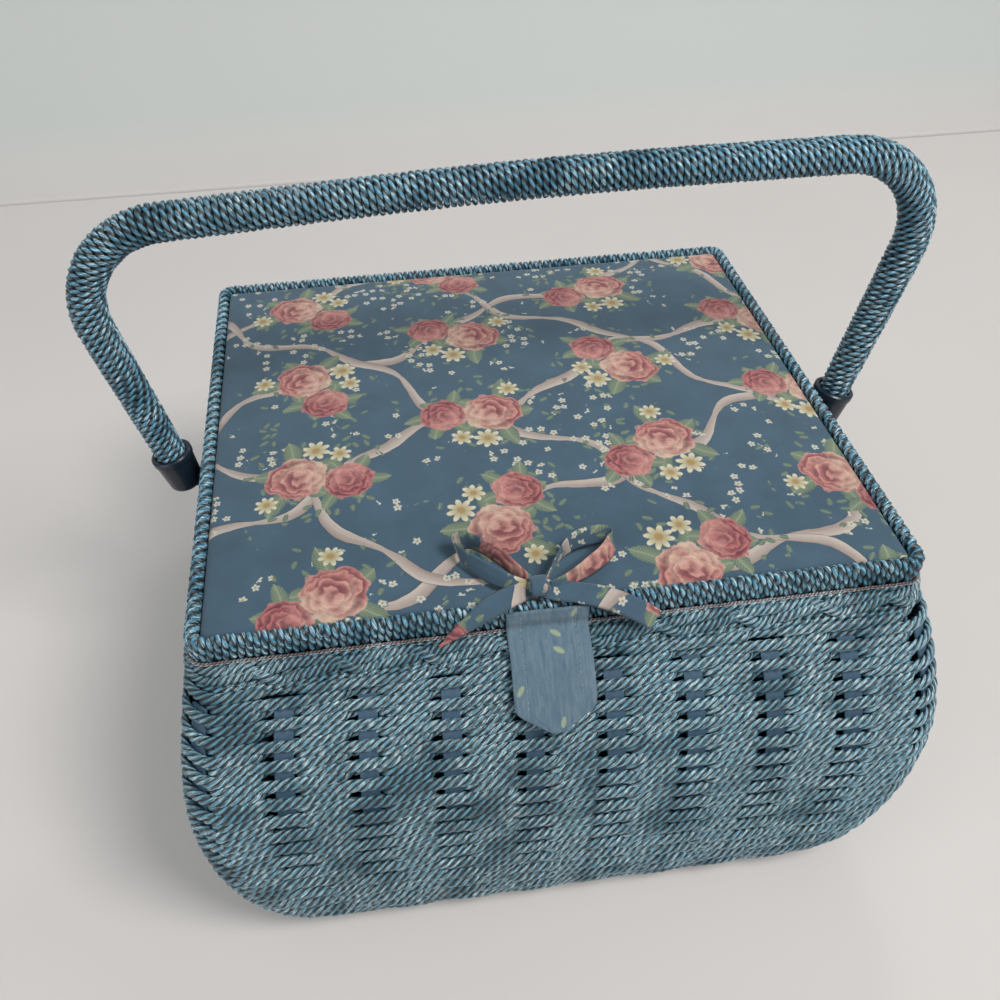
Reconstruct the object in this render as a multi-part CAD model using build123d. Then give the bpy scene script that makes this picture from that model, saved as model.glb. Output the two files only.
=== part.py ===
"""Woven sewing basket with one hinged padded lid and a cord-bound swing handle.

Frame: origin on the floor under the middle of the basket, +X to the right, +Y to the hinge
side, +Z up, millimetres. The front, with the closing tab, faces -Y.
"""
import os
from math import atan, degrees, hypot, radians, sin, sqrt, tan

from build123d import *

# ---- driving dimensions ---------------------------------------------------------------------

# basket body: half width (X) and half depth (Y) of the middle of the woven wall
RIM_Z = 178.0            # top of the basket, where the lid lands
TOP_HALF_W = 154.0
TOP_HALF_D = 139.0
BULGE_W = 12.0           # how far the side walls swell past the rim
BULGE_D = 34.0           # how far the front and rear walls swell past the rim
BULGE_W_AT = 0.50        # height share, from the rim down, of the widest place
BULGE_D_AT = 0.42
BASE_HALF_W = 122.0
BASE_HALF_D = 142.0
TUCK_W = 1.95            # superellipse power of the curve under the sides
TUCK_D = 3.30            # the same under the front and rear
TOP_CORNER_R = 14.0
MID_CORNER_R = 18.0
BASE_CORNER_R = 26.0

# weave
FRONT_STAKE_COUNT = 9    # stakes along the front and along the rear, the first at a corner
SIDE_STAKE_COUNT = 9     # the same along each side
STAKE_W = 8.0
STAKE_T = 1.0
COURSE_T = 3.1           # thickness of one weft cord
WEAVE_SLACK = 0.60       # air between a course and the stake it crosses
COURSE_H = 5.5           # height of a course, measured along the curve of the front wall
WEAVE_Z0 = 2.6           # underside of the lowest course
CORNER_GRIP = 0.5        # a course lies flat this far past a corner stake's edges

# rim, foot and inner structure
BORDER_H = 15.6
BORDER_HALF_T = 4.6
BORDER_ROUND = 3.0       # easing of the border's upper edge
BORDER_EASE = 1.4        # easing of its lower edge
FRAME_T = 10.0           # wooden hoop inside the border
FRAME_H = 10.7
HOOP_CORNER_R = 4.0      # inner corners of the hoop
RABBET_W = 4.0
RABBET_H = 1.8
ROPE_D = 5.5             # foot rope
ROPE_SET_W = 2.0         # foot rope centre, outside the base outline
ROPE_SET_D = 6.0
ROPE_CORNER_R = 36.0
BASE_T = 6.1             # base panel, lying on the floor
PAD_T = 3.0
LINER_T = 2.0
LINER_SET = 7.0          # liner's outer face, inside the middle of the wall
GAP = 0.3                # seat clearance between loose or soft pieces

# lid
LID_PROUD = 2.5          # the rail's outer face, outside the middle of the wall at the rim
RAIL_T = 6.5
RAIL_H = 13.5
RAIL_CORNER_R = 9.0
RAIL_ROUND = 2.6
LINING_T = 1.2
BOARD_T = 3.0
CUSHION_EDGE_H = 6.3     # flat side of the cushion, below its crown
CUSHION_CROWN = 5.5

# hinges
HINGE_AT = 0.607         # share of the lid's half width
HINGE_L = 30.0
KNUCKLE_R = 1.75
HINGE_PIN_R = 0.9
PIN_CLEAR = 0.05
LEAF_T = 0.9
LEAF_RIM_L = 15.0
LEAF_LID_L = 8.5
KNUCKLE_PROUD = 2.3      # hinge axis behind the rail's rear face
SCREW_PITCH = 18.0
SCREW_R = 0.8
SCREW_HEAD_R = 1.5
SCREW_L = 6.0

# handle
PIVOT_DROP = 17.0        # handle's axis, under the rim
PIVOT_OUT = 8.9          # from the bush's flange out to the middle of each socket
HANDLE_SPREAD = 32.7     # how far each straight leg leans out at full height
HANDLE_RISE = 144.2
HANDLE_ARCH = 2.9
HANDLE_SKEW = 4.4        # the right bend stands this much above the middle height, the left below
CROWN_SHARE = 0.45       # of the bar's half length, taken up by the arch at each side of its middle
HANDLE_CORNER_R = 41.5
HANDLE_D = 17.8
NECK_D = 15.7            # across the bound leg at its foot
CORE_D = 10.0
CORE_CLEAR = 0.1
HANDLE_LEAN = 0.3        # degrees from upright, towards the front, where friction holds it

# pivot sockets
SOCKET_R = 9.9
SOCKET_FOOT_R = 8.8
SOCKET_FOOT_ROUND = 4.0
SOCKET_LIP_R = 10.5
SOCKET_LIP_H = 4.0
SOCKET_EASE = 0.7        # slope under the lip and bevel on it
SOCKET_BELOW = 4.0
SOCKET_ABOVE = 18.0
SOCKET_FLOOR = 5.0       # handle end, above the pivot
SOCKET_ROOM = 0.5        # air round the bound leg's foot
PEG_R = 3.2
PEG_CLEAR = 0.08
BOSS_R = 4.9
BUSH_R = 5.0
BUSH_FLANGE_R = 8.0
BUSH_FLANGE_T = 1.0
BUSH_SUNK = 2.2          # how far the flange's seat is let into the weave
BUSH_PAST = 3.1          # bush end, inside the hoop's outer face
BUSH_HOLE_CLEAR = 0.3
CLIP_R = 5.6
CLIP_T = 1.0
PEG_PAST = 2.5           # peg length past the bush end

# tray
TRAY_WALL = 1.8
TRAY_DEPTH = 42.0
TRAY_LIP_T = 1.5
TRAY_CLEAR = 1.8
TRAY_SIDE_SHARE = 0.258          # of the inside width, for the left and for the right column
TRAY_ROWS = (2, 3, 2)
TRAY_POCKET_R = 7.0
PINCUSHION_RISE = 5.0

# tab and bow
TAB_X = -9.0
TAB_W = 35.0
TAB_T = 1.6
TAB_HEAD = 1.3           # top of the tab, under the rail's top face
TAB_DROP = 18.5          # from the rim down to where the straight sides end
TAB_POINT = 13.5
TAB_SKEW = 3.3           # one side ends this much lower, the other this much higher
TAB_OFF_WALL = 3.1
SNAP_R = 5.0
SNAP_T = 0.9
SNAP_RISE = 5.0          # snap's middle, over the end of the straight sides
STUD_EASE = 0.6          # the stud's radius is this much less than the cap's
BOW_X = -12.0
BOW_SET = 4.5            # knot's middle, behind the rail's front face
KNOT_W, KNOT_D, KNOT_H = 14.0, 11.0, 9.5
KNOT_ROUND = 3.2
LOOP_L = (26.0, 29.0)    # left and right loop
LOOP_BACK = (25.0, 16.0)         # how far each loop's end lies behind the knot
LOOP_W = 13.0
LOOP_T = 5.0
LOOP_RISE = 5.0          # loops' middle over the rail, at the knot
LOOP_LIFT = 3.5          # further rise to their ends
TAIL_REACH = (43.0, 48.0)        # left and right tail, from the knot
TAIL_DROP = (14.0, 12.4)
TAIL_W = 9.0
TAIL_T = 1.2
TAIL_LIFT = 0.9          # how far the tails arch up to clear the rail's rounded edge
TAIL_OVER = 2.8          # tails' middle, in front of the rail's face where they turn down
TAIL_HANG = 4.0          # further out at their ends, to clear the border

# ---- what follows from them -------------------------------------------------------------------

STAKE_OUT = STAKE_T / 2 + WEAVE_SLACK + COURSE_T / 2
# a course runs straight from stake to stake, so it starts a little further out to clear their edges
PITCH = 2 * (TOP_HALF_W + BULGE_W) / FRONT_STAKE_COUNT
WEAVE_AMP = STAKE_OUT / (1 - STAKE_W / PITCH)
WALL_HALF_T = WEAVE_AMP + COURSE_T / 2
CORNER_FLAT = STAKE_W / 2 + CORNER_GRIP
BORDER_Z0 = RIM_Z - GAP - BORDER_H
WEAVE_Z1 = BORDER_Z0 - GAP
LID_Z0 = RIM_Z + GAP
LID_OUT_W = TOP_HALF_W + LID_PROUD
LID_OUT_D = TOP_HALF_D + LID_PROUD
LID_FACE_W = 2 * (LID_OUT_W - RAIL_T)
LID_FACE_D = 2 * (LID_OUT_D - RAIL_T)
HINGE_X = HINGE_AT * LID_OUT_W
HINGE_Y = LID_OUT_D + KNUCKLE_PROUD
HINGE_Z = RIM_Z + GAP / 2
FRAME_OUT_W = TOP_HALF_W - BORDER_HALF_T - GAP
FRAME_OUT_D = TOP_HALF_D - BORDER_HALF_T - GAP
FRAME_Z0 = RIM_Z - GAP - FRAME_H
LINER_Z1 = FRAME_Z0 - GAP
PAD_Z0 = BASE_T + GAP
PIVOT_Z = RIM_Z - PIVOT_DROP
TAB_TOP_Z = LID_Z0 + RAIL_H - TAB_HEAD
TAB_END_Z = RIM_Z - TAB_DROP
BOW_Y = -(LID_OUT_D - BOW_SET)
LINER_Z0 = PAD_Z0 + PAD_T + GAP


def wall(z):
    """Half width, half depth and corner radius of the middle of the wall at height z."""
    t = (RIM_Z - z) / RIM_Z

    def side(top, bulge, at, base, power):
        if t <= at:
            return top + bulge * (1 - (1 - t / at) ** 2)
        s = min((t - at) / (1 - at), 1.0)
        return base + (top + bulge - base) * (1 - s**power) ** (1 / power)

    half_w = side(TOP_HALF_W, BULGE_W, BULGE_W_AT, BASE_HALF_W, TUCK_W)
    half_d = side(TOP_HALF_D, BULGE_D, BULGE_D_AT, BASE_HALF_D, TUCK_D)
    if t <= BULGE_W_AT:
        r = TOP_CORNER_R + (MID_CORNER_R - TOP_CORNER_R) * t / BULGE_W_AT
    else:
        r = MID_CORNER_R + (BASE_CORNER_R - MID_CORNER_R) * (t - BULGE_W_AT) / (1 - BULGE_W_AT)
    return half_w, half_d, r


BUSH_SEAT_X = wall(PIVOT_Z)[0] + WALL_HALF_T - BUSH_SUNK
BUSH_END_X = FRAME_OUT_W - BUSH_PAST
PIVOT_HALF_X = BUSH_SEAT_X + BUSH_FLANGE_T + GAP + PIVOT_OUT
HANDLE_HALF_X = PIVOT_HALF_X + HANDLE_SPREAD


def rounded(half_w, half_d, r, z=0.0):
    """A rounded rectangle at height z."""
    return Plane.XY.offset(z) * RectangleRounded(2 * half_w, 2 * half_d, r)


def stake_places(z):
    """Each stake's place on the wall at height z, with the wall's outward direction there."""
    half_w, half_d, r = wall(z)
    cut = r * (1 - 1 / sqrt(2))
    places = []
    for turn in range(4):
        facing = (half_w, half_d, FRONT_STAKE_COUNT), (half_d, half_w, SIDE_STAKE_COUNT)
        along, across, gaps = facing[turn % 2]
        reach = along - cut
        for i in range(gaps):
            u = -reach + 2 * reach * i / gaps
            v = -(across - cut) if i == 0 else -across
            nx, ny = (-1 / sqrt(2), -1 / sqrt(2)) if i == 0 else (0.0, -1.0)
            c, s = ((1, 0), (0, 1), (-1, 0), (0, -1))[turn]
            places.append((u * c - v * s, u * s + v * c, nx * c - ny * s, nx * s + ny * c))
    return places


# ---- woven wall ---------------------------------------------------------------------------------


def course_outline(z, phase, out):
    """A course's edge at height z: over one stake, behind the next; out shifts it outward."""
    points = []
    for i, (x, y, nx, ny) in enumerate(stake_places(z)):
        d = (WEAVE_AMP if (i + phase) % 2 == 0 else -WEAVE_AMP) + out
        flat = CORNER_FLAT if nx * ny else 0.0
        for u in (-flat, flat) if flat else (0.0,):
            points.append((x + nx * d - ny * u, y + ny * d + nx * u, z))
    return Wire.make_polygon(points, close=True)


def course(z0, z1, phase):
    outer = Solid.make_loft([course_outline(z, phase, COURSE_T / 2) for z in (z0, z1)], ruled=True)
    inner = Solid.make_loft([course_outline(z, phase, -COURSE_T / 2) for z in (z0, z1)], ruled=True)
    return outer - inner


def course_levels():
    """Heights of the courses' edges, evenly spaced along the curve of the front wall."""
    steps = 400
    heights = [WEAVE_Z0 + (WEAVE_Z1 - WEAVE_Z0) * i / steps for i in range(steps + 1)]
    runs = [0.0]
    for a, b in zip(heights, heights[1:]):
        runs.append(runs[-1] + hypot(b - a, wall(b)[1] - wall(a)[1]))
    count = round(runs[-1] / COURSE_H)
    levels = [WEAVE_Z0]
    for i in range(steps):
        goal = runs[-1] * len(levels) / count
        if runs[i] < goal <= runs[i + 1] and len(levels) < count:
            share = (goal - runs[i]) / (runs[i + 1] - runs[i])
            levels.append(heights[i] + share * (heights[i + 1] - heights[i]))
    return levels + [WEAVE_Z1]


def pivot_hole(side):
    """The round way through wall and liner for a pivot bush, with a recess for its flange."""
    reach = BUSH_SEAT_X - BUSH_END_X + 2 * LINER_SET
    hole = Pos(side * (BUSH_SEAT_X + BUSH_END_X) / 2, 0, PIVOT_Z) * Rot(0, 90, 0)
    hole = hole * Cylinder(BUSH_R + BUSH_HOLE_CLEAR, reach)
    recess_x = BUSH_SEAT_X - GAP + LINER_SET / 2
    recess = Pos(side * recess_x, 0, PIVOT_Z) * Rot(0, 90, 0)
    return hole + recess * Cylinder(BUSH_FLANGE_R + BUSH_HOLE_CLEAR, LINER_SET)


def woven_wall():
    levels = course_levels()
    courses = []
    for i in range(len(levels) - 1):
        ring = course(levels[i], levels[i + 1], i)
        if levels[i + 1] > PIVOT_Z - BUSH_FLANGE_R - BUSH_HOLE_CLEAR:
            ring = ring - pivot_hole(-1) - pivot_hole(1)
        courses.extend(ring.solids())
    return Compound(courses)


def stake(index, levels):
    """One flat strip, bent along the wall and held between the courses."""
    sections = []
    for z in levels:
        x, y, nx, ny = stake_places(z)[index]
        tx, ty = -ny, nx
        corners = []
        for u, v in ((-1, -1), (1, -1), (1, 1), (-1, 1)):
            px = x + tx * u * STAKE_W / 2 + nx * v * STAKE_T / 2
            py = y + ty * u * STAKE_W / 2 + ny * v * STAKE_T / 2
            corners.append((px, py, z))
        sections.append(Wire.make_polygon(corners, close=True))
    return Solid.make_loft(sections, ruled=True)


def wall_stakes():
    levels = course_levels()
    count = 2 * (FRONT_STAKE_COUNT + SIDE_STAKE_COUNT)
    return Compound([stake(i, levels) for i in range(count)])


# ---- rim, foot, liner -----------------------------------------------------------------------------


def rim_border():
    """The plaited band under the lid, rounded at its top edge."""
    top = RIM_Z - GAP
    shoulder = BORDER_ROUND + (BORDER_H - BORDER_EASE - BORDER_ROUND) / 2
    profile = (
        (BORDER_H, BORDER_EASE),
        (BORDER_H - BORDER_EASE, 0.0),
        (shoulder, 0.0),
        (BORDER_ROUND, 0.0),
        (BORDER_ROUND * 0.35, BORDER_ROUND * 0.3),
        (0.0, BORDER_ROUND),
    )
    outer = []
    for drop, inset in profile:
        half_w, half_d, r = wall(top - drop)
        grow = BORDER_HALF_T - inset
        outer.append(rounded(half_w + grow, half_d + grow, r + grow, top - drop))
    inner = []
    for drop in (BORDER_H, BORDER_H / 2, 0.0):
        half_w, half_d, r = wall(top - drop)
        grow = -BORDER_HALF_T
        inner.append(rounded(half_w + grow, half_d + grow, r + grow, top - drop))
    band = loft(outer, ruled=True) - loft(inner, ruled=True)
    band = band - pivot_hole(-1) - pivot_hole(1)
    return band - hinge_pocket(RIM_Z - GAP, -1)


def rim_frame():
    """Wooden hoop inside the border, with a rabbet that carries the tray."""
    top = RIM_Z - GAP
    r = TOP_CORNER_R - BORDER_HALF_T
    inner_w = FRAME_OUT_W - FRAME_T
    inner_d = FRAME_OUT_D - FRAME_T
    hoop = extrude(rounded(FRAME_OUT_W, FRAME_OUT_D, r, FRAME_Z0), FRAME_H)
    hoop -= extrude(rounded(inner_w, inner_d, HOOP_CORNER_R, FRAME_Z0), FRAME_H)
    rabbet = rounded(inner_w + RABBET_W, inner_d + RABBET_W, HOOP_CORNER_R + RABBET_W / 2, top - RABBET_H)
    hoop -= extrude(rabbet, RABBET_H)
    hoop -= hinge_pocket(top, -1)
    for x, y in screw_places(rim_screw_y()):
        hoop -= Pos(x, y, top - SCREW_L / 2) * Cylinder(SCREW_R, SCREW_L + 2 * LEAF_T)
    return hoop


def foot_rope():
    """Rope laid along the edge of the base; the basket stands on it."""
    half_w = BASE_HALF_W + ROPE_SET_W
    half_d = BASE_HALF_D + ROPE_SET_D
    path = rounded(half_w, half_d, ROPE_CORNER_R, ROPE_D / 2).wire()
    section = Plane((0, -half_d, ROPE_D / 2), x_dir=(0, 1, 0), z_dir=(1, 0, 0)) * Circle(ROPE_D / 2)
    return sweep(section, path=path)


def base_panel():
    half_w = BASE_HALF_W + ROPE_SET_W - ROPE_D / 2 - GAP
    half_d = BASE_HALF_D + ROPE_SET_D - ROPE_D / 2 - GAP
    panel = extrude(rounded(half_w, half_d, ROPE_CORNER_R - ROPE_D / 2), BASE_T)
    return chamfer(panel.edges().group_by(Axis.Z)[0], 0.8)


def liner_outline(z, inset):
    """The liner's outline: along the wall, then in to the hoop at the top."""
    half_w, half_d, r = wall(z)
    half_w -= LINER_SET
    half_d -= LINER_SET
    turn_in = max(0.0, (z - PIVOT_Z + BUSH_R) / (LINER_Z1 - PIVOT_Z + BUSH_R))
    half_w += (FRAME_OUT_W - 1.0 - half_w) * turn_in
    half_d += (FRAME_OUT_D - 1.0 - half_d) * turn_in
    return rounded(half_w - inset, half_d - inset, max(r - LINER_SET - inset, 2.0), z)


def wall_liner():
    """Stiff card liner, cloth-faced, that backs the weave from the floor to the hoop."""
    bend_z = PIVOT_Z - BUSH_R
    steps = 7
    levels = [LINER_Z0, LINER_Z0 + 7.0, LINER_Z0 + 18.0]
    start = levels[-1]
    levels += [start + (bend_z - start) * (i + 1) / steps for i in range(steps)]
    levels.append(LINER_Z1)
    shell = loft([liner_outline(z, 0.0) for z in levels], ruled=True)
    shell -= loft([liner_outline(z, LINER_T) for z in levels], ruled=True)
    return shell - pivot_hole(-1) - pivot_hole(1)


def floor_pad():
    """Cloth-covered card floor on the base panel."""
    half_w, half_d, _ = wall(PAD_Z0)
    inset = WALL_HALF_T + GAP
    pad = extrude(rounded(half_w - inset, half_d - inset, ROPE_CORNER_R - inset, PAD_Z0), PAD_T)
    return fillet(pad.edges().group_by(Axis.Z)[-1], 1.0)


# ---- tray -----------------------------------------------------------------------------------------


def tray_pockets():
    """Each pocket of the tray: centre x, centre y, width, depth."""
    half_w = FRAME_OUT_W - FRAME_T - TRAY_CLEAR - TRAY_WALL
    half_d = FRAME_OUT_D - FRAME_T - TRAY_CLEAR - TRAY_WALL
    outer = TRAY_SIDE_SHARE * 2 * half_w
    middle = 2 * half_w - 2 * outer - 2 * TRAY_WALL
    pockets = []
    x = -half_w
    for width, rows in zip((outer, middle, outer), TRAY_ROWS):
        depth = (2 * half_d - (rows - 1) * TRAY_WALL) / rows
        for row in range(rows):
            y = -half_d + row * (depth + TRAY_WALL) + depth / 2
            pockets.append((x + width / 2, y, width, depth))
        x += width + TRAY_WALL
    return pockets


def tray():
    """Moulded lift-out tray: its lip lies in the hoop's rabbet."""
    top = RIM_Z - GAP
    half_w = FRAME_OUT_W - FRAME_T - TRAY_CLEAR
    half_d = FRAME_OUT_D - FRAME_T - TRAY_CLEAR
    body = extrude(rounded(half_w, half_d, TRAY_POCKET_R + TRAY_WALL, top - TRAY_DEPTH), TRAY_DEPTH)
    lip = RABBET_W + TRAY_CLEAR - GAP
    body += extrude(rounded(half_w + lip, half_d + lip, HOOP_CORNER_R + RABBET_W / 2 - GAP, top - TRAY_LIP_T), TRAY_LIP_T)
    for x, y, width, depth in tray_pockets():
        hollow = Pos(x, y, top - TRAY_DEPTH + TRAY_WALL) * RectangleRounded(width, depth, TRAY_POCKET_R)
        body -= extrude(hollow, TRAY_DEPTH)
    return body


def pincushion():
    """Stuffed cushion that sits in the front right pocket of the tray."""
    x, y, width, depth = tray_pockets()[-TRAY_ROWS[2]]
    z0 = RIM_Z - GAP - TRAY_DEPTH + TRAY_WALL + GAP
    width -= 2 * GAP + 1.0
    depth -= 2 * GAP + 1.0
    height = TRAY_DEPTH - TRAY_WALL - 2 * GAP - PINCUSHION_RISE
    sections = []
    for share, inset in ((0.0, 3.0), (0.2, 0.0), (0.6, 0.0), (0.85, 4.0), (1.0, 14.0)):
        plate = RectangleRounded(width - 2 * inset, depth - 2 * inset, TRAY_POCKET_R + 0.3 * inset)
        sections.append(Pos(x, y, z0 + share * height) * plate)
    return loft(sections, ruled=True)


# ---- lid --------------------------------------------------------------------------------------------


def lid_rail():
    """Rail round the lid, bound with cord."""
    outer = extrude(rounded(LID_OUT_W, LID_OUT_D, RAIL_CORNER_R, LID_Z0), RAIL_H)
    inner = extrude(rounded(LID_FACE_W / 2, LID_FACE_D / 2, RAIL_CORNER_R - RAIL_T, LID_Z0), RAIL_H)
    rail = outer - inner
    ends = rail.edges().group_by(Axis.Z)
    rail = fillet(ends[0] + ends[-1], RAIL_ROUND)
    rail -= hinge_pocket(LID_Z0, 1)
    for x, y in screw_places(lid_screw_y()):
        rail -= Pos(x, y, LID_Z0 + SCREW_L / 2) * Cylinder(SCREW_R, SCREW_L + 2 * LEAF_T)
    return rail


def lid_plate(z0, thickness):
    half_w = LID_FACE_W / 2 - GAP
    half_d = LID_FACE_D / 2 - GAP
    return extrude(rounded(half_w, half_d, RAIL_CORNER_R - RAIL_T, z0), thickness)


def lid_lining():
    return lid_plate(LID_Z0 + GAP, LINING_T)


def lid_board():
    return lid_plate(LID_Z0 + GAP + LINING_T, BOARD_T)


def lid_cushion():
    """Wadded cloth face: flat sides inside the rail, then a low crown."""
    z0 = LID_Z0 + GAP + LINING_T + BOARD_T
    half_w = LID_FACE_W / 2 - GAP
    half_d = LID_FACE_D / 2 - GAP
    r = RAIL_CORNER_R - RAIL_T
    sections = [rounded(half_w, half_d, r, z0), rounded(half_w, half_d, r, z0 + CUSHION_EDGE_H)]
    for share, inset in ((0.35, 3.0), (0.62, 9.0), (0.85, 26.0), (1.0, 62.0)):
        z = z0 + CUSHION_EDGE_H + CUSHION_CROWN * share
        sections.append(rounded(half_w - inset, half_d - inset, r + inset * 0.5, z))
    return loft(sections, ruled=True)


# ---- hinges -----------------------------------------------------------------------------------------


def hinge_pocket(z, up):
    """Room for the leaves where rail and rim meet; up is 1 in the lid, -1 in the rim."""
    length = LEAF_LID_L if up > 0 else LEAF_RIM_L
    depth = length + GAP
    pockets = []
    for side in (-1, 1):
        block = Box(HINGE_L + 2 * GAP, depth + KNUCKLE_R, 2 * (LEAF_T + GAP / 2))
        pockets.append(Pos(side * HINGE_X, HINGE_Y - depth / 2 + KNUCKLE_R / 2, z) * block)
        barrel = Cylinder(KNUCKLE_R + GAP, HINGE_L + 2 * GAP)
        pockets.append(Pos(side * HINGE_X, HINGE_Y, HINGE_Z) * Rot(0, 90, 0) * barrel)
    return pockets


def rim_screw_y():
    return HINGE_Y - LEAF_RIM_L + 2.4


def lid_screw_y():
    return HINGE_Y - LEAF_LID_L + 2.9


def screw_places(y):
    return [(side * HINGE_X + end * SCREW_PITCH / 2, y) for side in (-1, 1) for end in (-1, 1)]


def hinge_leaves(up):
    """Two leaves with their knuckles: the rim's hold the middle one, the lid's the outer two."""
    length = LEAF_LID_L if up > 0 else LEAF_RIM_L
    screw_y = lid_screw_y() if up > 0 else rim_screw_y()
    third = HINGE_L / 3
    z = HINGE_Z + up * (LEAF_T / 2 + GAP / 4)
    leaves = []
    for side in (-1, 1):
        leaf = Pos(side * HINGE_X, HINGE_Y - length / 2, z) * Box(HINGE_L, length, LEAF_T)
        for part in (-1, 0, 1):
            here = Pos(side * HINGE_X + part * third, HINGE_Y, HINGE_Z) * Rot(0, 90, 0)
            mine = (part == 0) == (up < 0)
            if mine:
                leaf += here * Cylinder(KNUCKLE_R, third - GAP)
            else:
                leaf -= here * Cylinder(KNUCKLE_R + GAP, third + GAP)
        bore = HINGE_PIN_R + (PIN_CLEAR if up > 0 else PIN_CLEAR / 5)
        leaf -= Pos(side * HINGE_X, HINGE_Y, HINGE_Z) * Rot(0, 90, 0) * Cylinder(bore, HINGE_L + 1)
        for end in (-1, 1):
            hole = Cylinder(SCREW_R + 0.1, 3 * LEAF_T)
            leaf -= Pos(side * HINGE_X + end * SCREW_PITCH / 2, screw_y, z) * hole
        leaves.extend(leaf.solids())
    return Compound(leaves)


def hinge_pins():
    pin = Rot(0, 90, 0) * Cylinder(HINGE_PIN_R, HINGE_L)
    return Compound([Pos(side * HINGE_X, HINGE_Y, HINGE_Z) * pin for side in (-1, 1)])


def hinge_screws(y, up):
    """Wood screws through the leaves; their thin heads lie in the gap under the lid."""
    face = HINGE_Z + up * GAP / 4
    screws = []
    for x, sy in screw_places(y):
        shank = Pos(x, sy, face + up * SCREW_L / 2) * Cylinder(SCREW_R - 0.05, SCREW_L)
        screws.append(shank)
    return Compound(screws)


# ---- handle ---------------------------------------------------------------------------------------


def bent_path(points, radii):
    """Straight runs joined by tangent arcs, in the XZ plane."""
    edges = []
    here = Vector(*points[0])
    for i in range(1, len(points) - 1):
        a, b, c = (Vector(*points[i + k]) for k in (-1, 0, 1))
        u = (a - b).normalized()
        v = (c - b).normalized()
        half = radians(u.get_angle(v)) / 2
        back = radii[i - 1] / tan(half)
        start = b + u * back
        end = b + v * back
        middle = b + (u + v).normalized() * (radii[i - 1] / sin(half) - radii[i - 1])
        edges.append(Edge.make_line(here, start))
        edges.append(Edge.make_three_point_arc(start, middle, end))
        here = end
    edges.append(Edge.make_line(here, Vector(*points[-1])))
    return edges


def bend_z(side):
    """Height of a bend's corner over the pivots."""
    return HANDLE_RISE + side * HANDLE_SKEW


def leg_angle(side):
    """Lean of a leg outward from upright."""
    return atan(HANDLE_SPREAD / bend_z(side))


def handle_route():
    """Centre line of the handle as edges: leg, bend, arched bar, bend, leg."""
    up = SOCKET_FLOOR + GAP
    points = [
        (-PIVOT_HALF_X - up * tan(leg_angle(-1)), 0, up),
        (-HANDLE_HALF_X, 0, bend_z(-1)),
        (0, 0, HANDLE_RISE + 2 * HANDLE_ARCH),
        (HANDLE_HALF_X, 0, bend_z(1)),
        (PIVOT_HALF_X + up * tan(leg_angle(1)), 0, up),
    ]
    crown_r = CROWN_SHARE * HANDLE_HALF_X**2 / (2 * HANDLE_ARCH)
    return bent_path(points, (HANDLE_CORNER_R, crown_r, HANDLE_CORNER_R))


def leant(shape):
    """Set the handle's pieces on their pivots, leaning towards the front."""
    return Pos(0, 0, PIVOT_Z) * Rot(HANDLE_LEAN, 0, 0) * shape


def round_bar(path, r):
    return sweep(Plane(path @ 0, z_dir=path % 0) * Circle(r), path=path)


def handle_core():
    return leant(round_bar(Wire(handle_route()), CORE_D / 2))


def handle_wrap():
    """Cord bound round the core, thinner down the legs; its turns are too fine to model here."""
    route = handle_route()
    wrap = round_bar(Wire(route[1:-1]), HANDLE_D / 2)
    for leg, ends in ((route[0], (NECK_D, HANDLE_D)), (route[-1], (HANDLE_D, NECK_D))):
        circles = [Plane(leg @ k, z_dir=leg % k) * Circle(ends[k] / 2) for k in (0, 1)]
        wrap += loft(circles, ruled=True)
    return leant(wrap - round_bar(Wire(route), CORE_D / 2 + CORE_CLEAR))


def socket(side):
    """Moulded cup on the handle's end, with the peg it turns on."""
    lip_z = SOCKET_ABOVE - SOCKET_LIP_H
    flat_r = SOCKET_FOOT_R - SOCKET_FOOT_ROUND
    round_z = -SOCKET_BELOW + SOCKET_FOOT_ROUND
    bore_r = NECK_D / 2 + SOCKET_ROOM
    with BuildPart() as cup:
        with BuildSketch(Plane.XZ):
            with BuildLine():
                Line((0, -SOCKET_BELOW), (flat_r, -SOCKET_BELOW))
                RadiusArc((flat_r, -SOCKET_BELOW), (SOCKET_FOOT_R, round_z), -SOCKET_FOOT_ROUND)
                Polyline(
                    (SOCKET_FOOT_R, round_z),
                    (SOCKET_R, lip_z),
                    (SOCKET_LIP_R, lip_z + SOCKET_EASE),
                    (SOCKET_LIP_R, SOCKET_ABOVE - SOCKET_EASE),
                    (SOCKET_LIP_R - SOCKET_EASE, SOCKET_ABOVE),
                    (bore_r, SOCKET_ABOVE),
                    (bore_r, SOCKET_FLOOR),
                    (0, SOCKET_FLOOR),
                    (0, -SOCKET_BELOW),
                )
            make_face()
        revolve(axis=Axis.Z)
    body = Pos(side * PIVOT_HALF_X, 0, 0) * Rot(0, side * degrees(leg_angle(side)), 0) * cup.part
    face_x = BUSH_SEAT_X + BUSH_FLANGE_T + GAP
    boss_l = PIVOT_HALF_X - face_x
    body += Pos(side * (face_x + boss_l / 2), 0, 0) * Rot(0, 90, 0) * Cylinder(BOSS_R, boss_l)
    tip_x = BUSH_END_X - PEG_PAST
    peg_l = PIVOT_HALF_X - tip_x
    body += Pos(side * (tip_x + peg_l / 2), 0, 0) * Rot(0, 90, 0) * Cylinder(PEG_R, peg_l)
    return leant(body)


def pivot_clips():
    """Push-on clips that keep the pegs in their bushes."""
    clips = []
    for side in (-1, 1):
        here = Pos(side * (BUSH_END_X - GAP - CLIP_T / 2), 0, 0) * Rot(0, 90, 0)
        clip = here * Cylinder(CLIP_R, CLIP_T) - here * Cylinder(PEG_R + 0.02, 3 * CLIP_T)
        clips.extend(leant(clip).solids())
    return Compound(clips)


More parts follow.
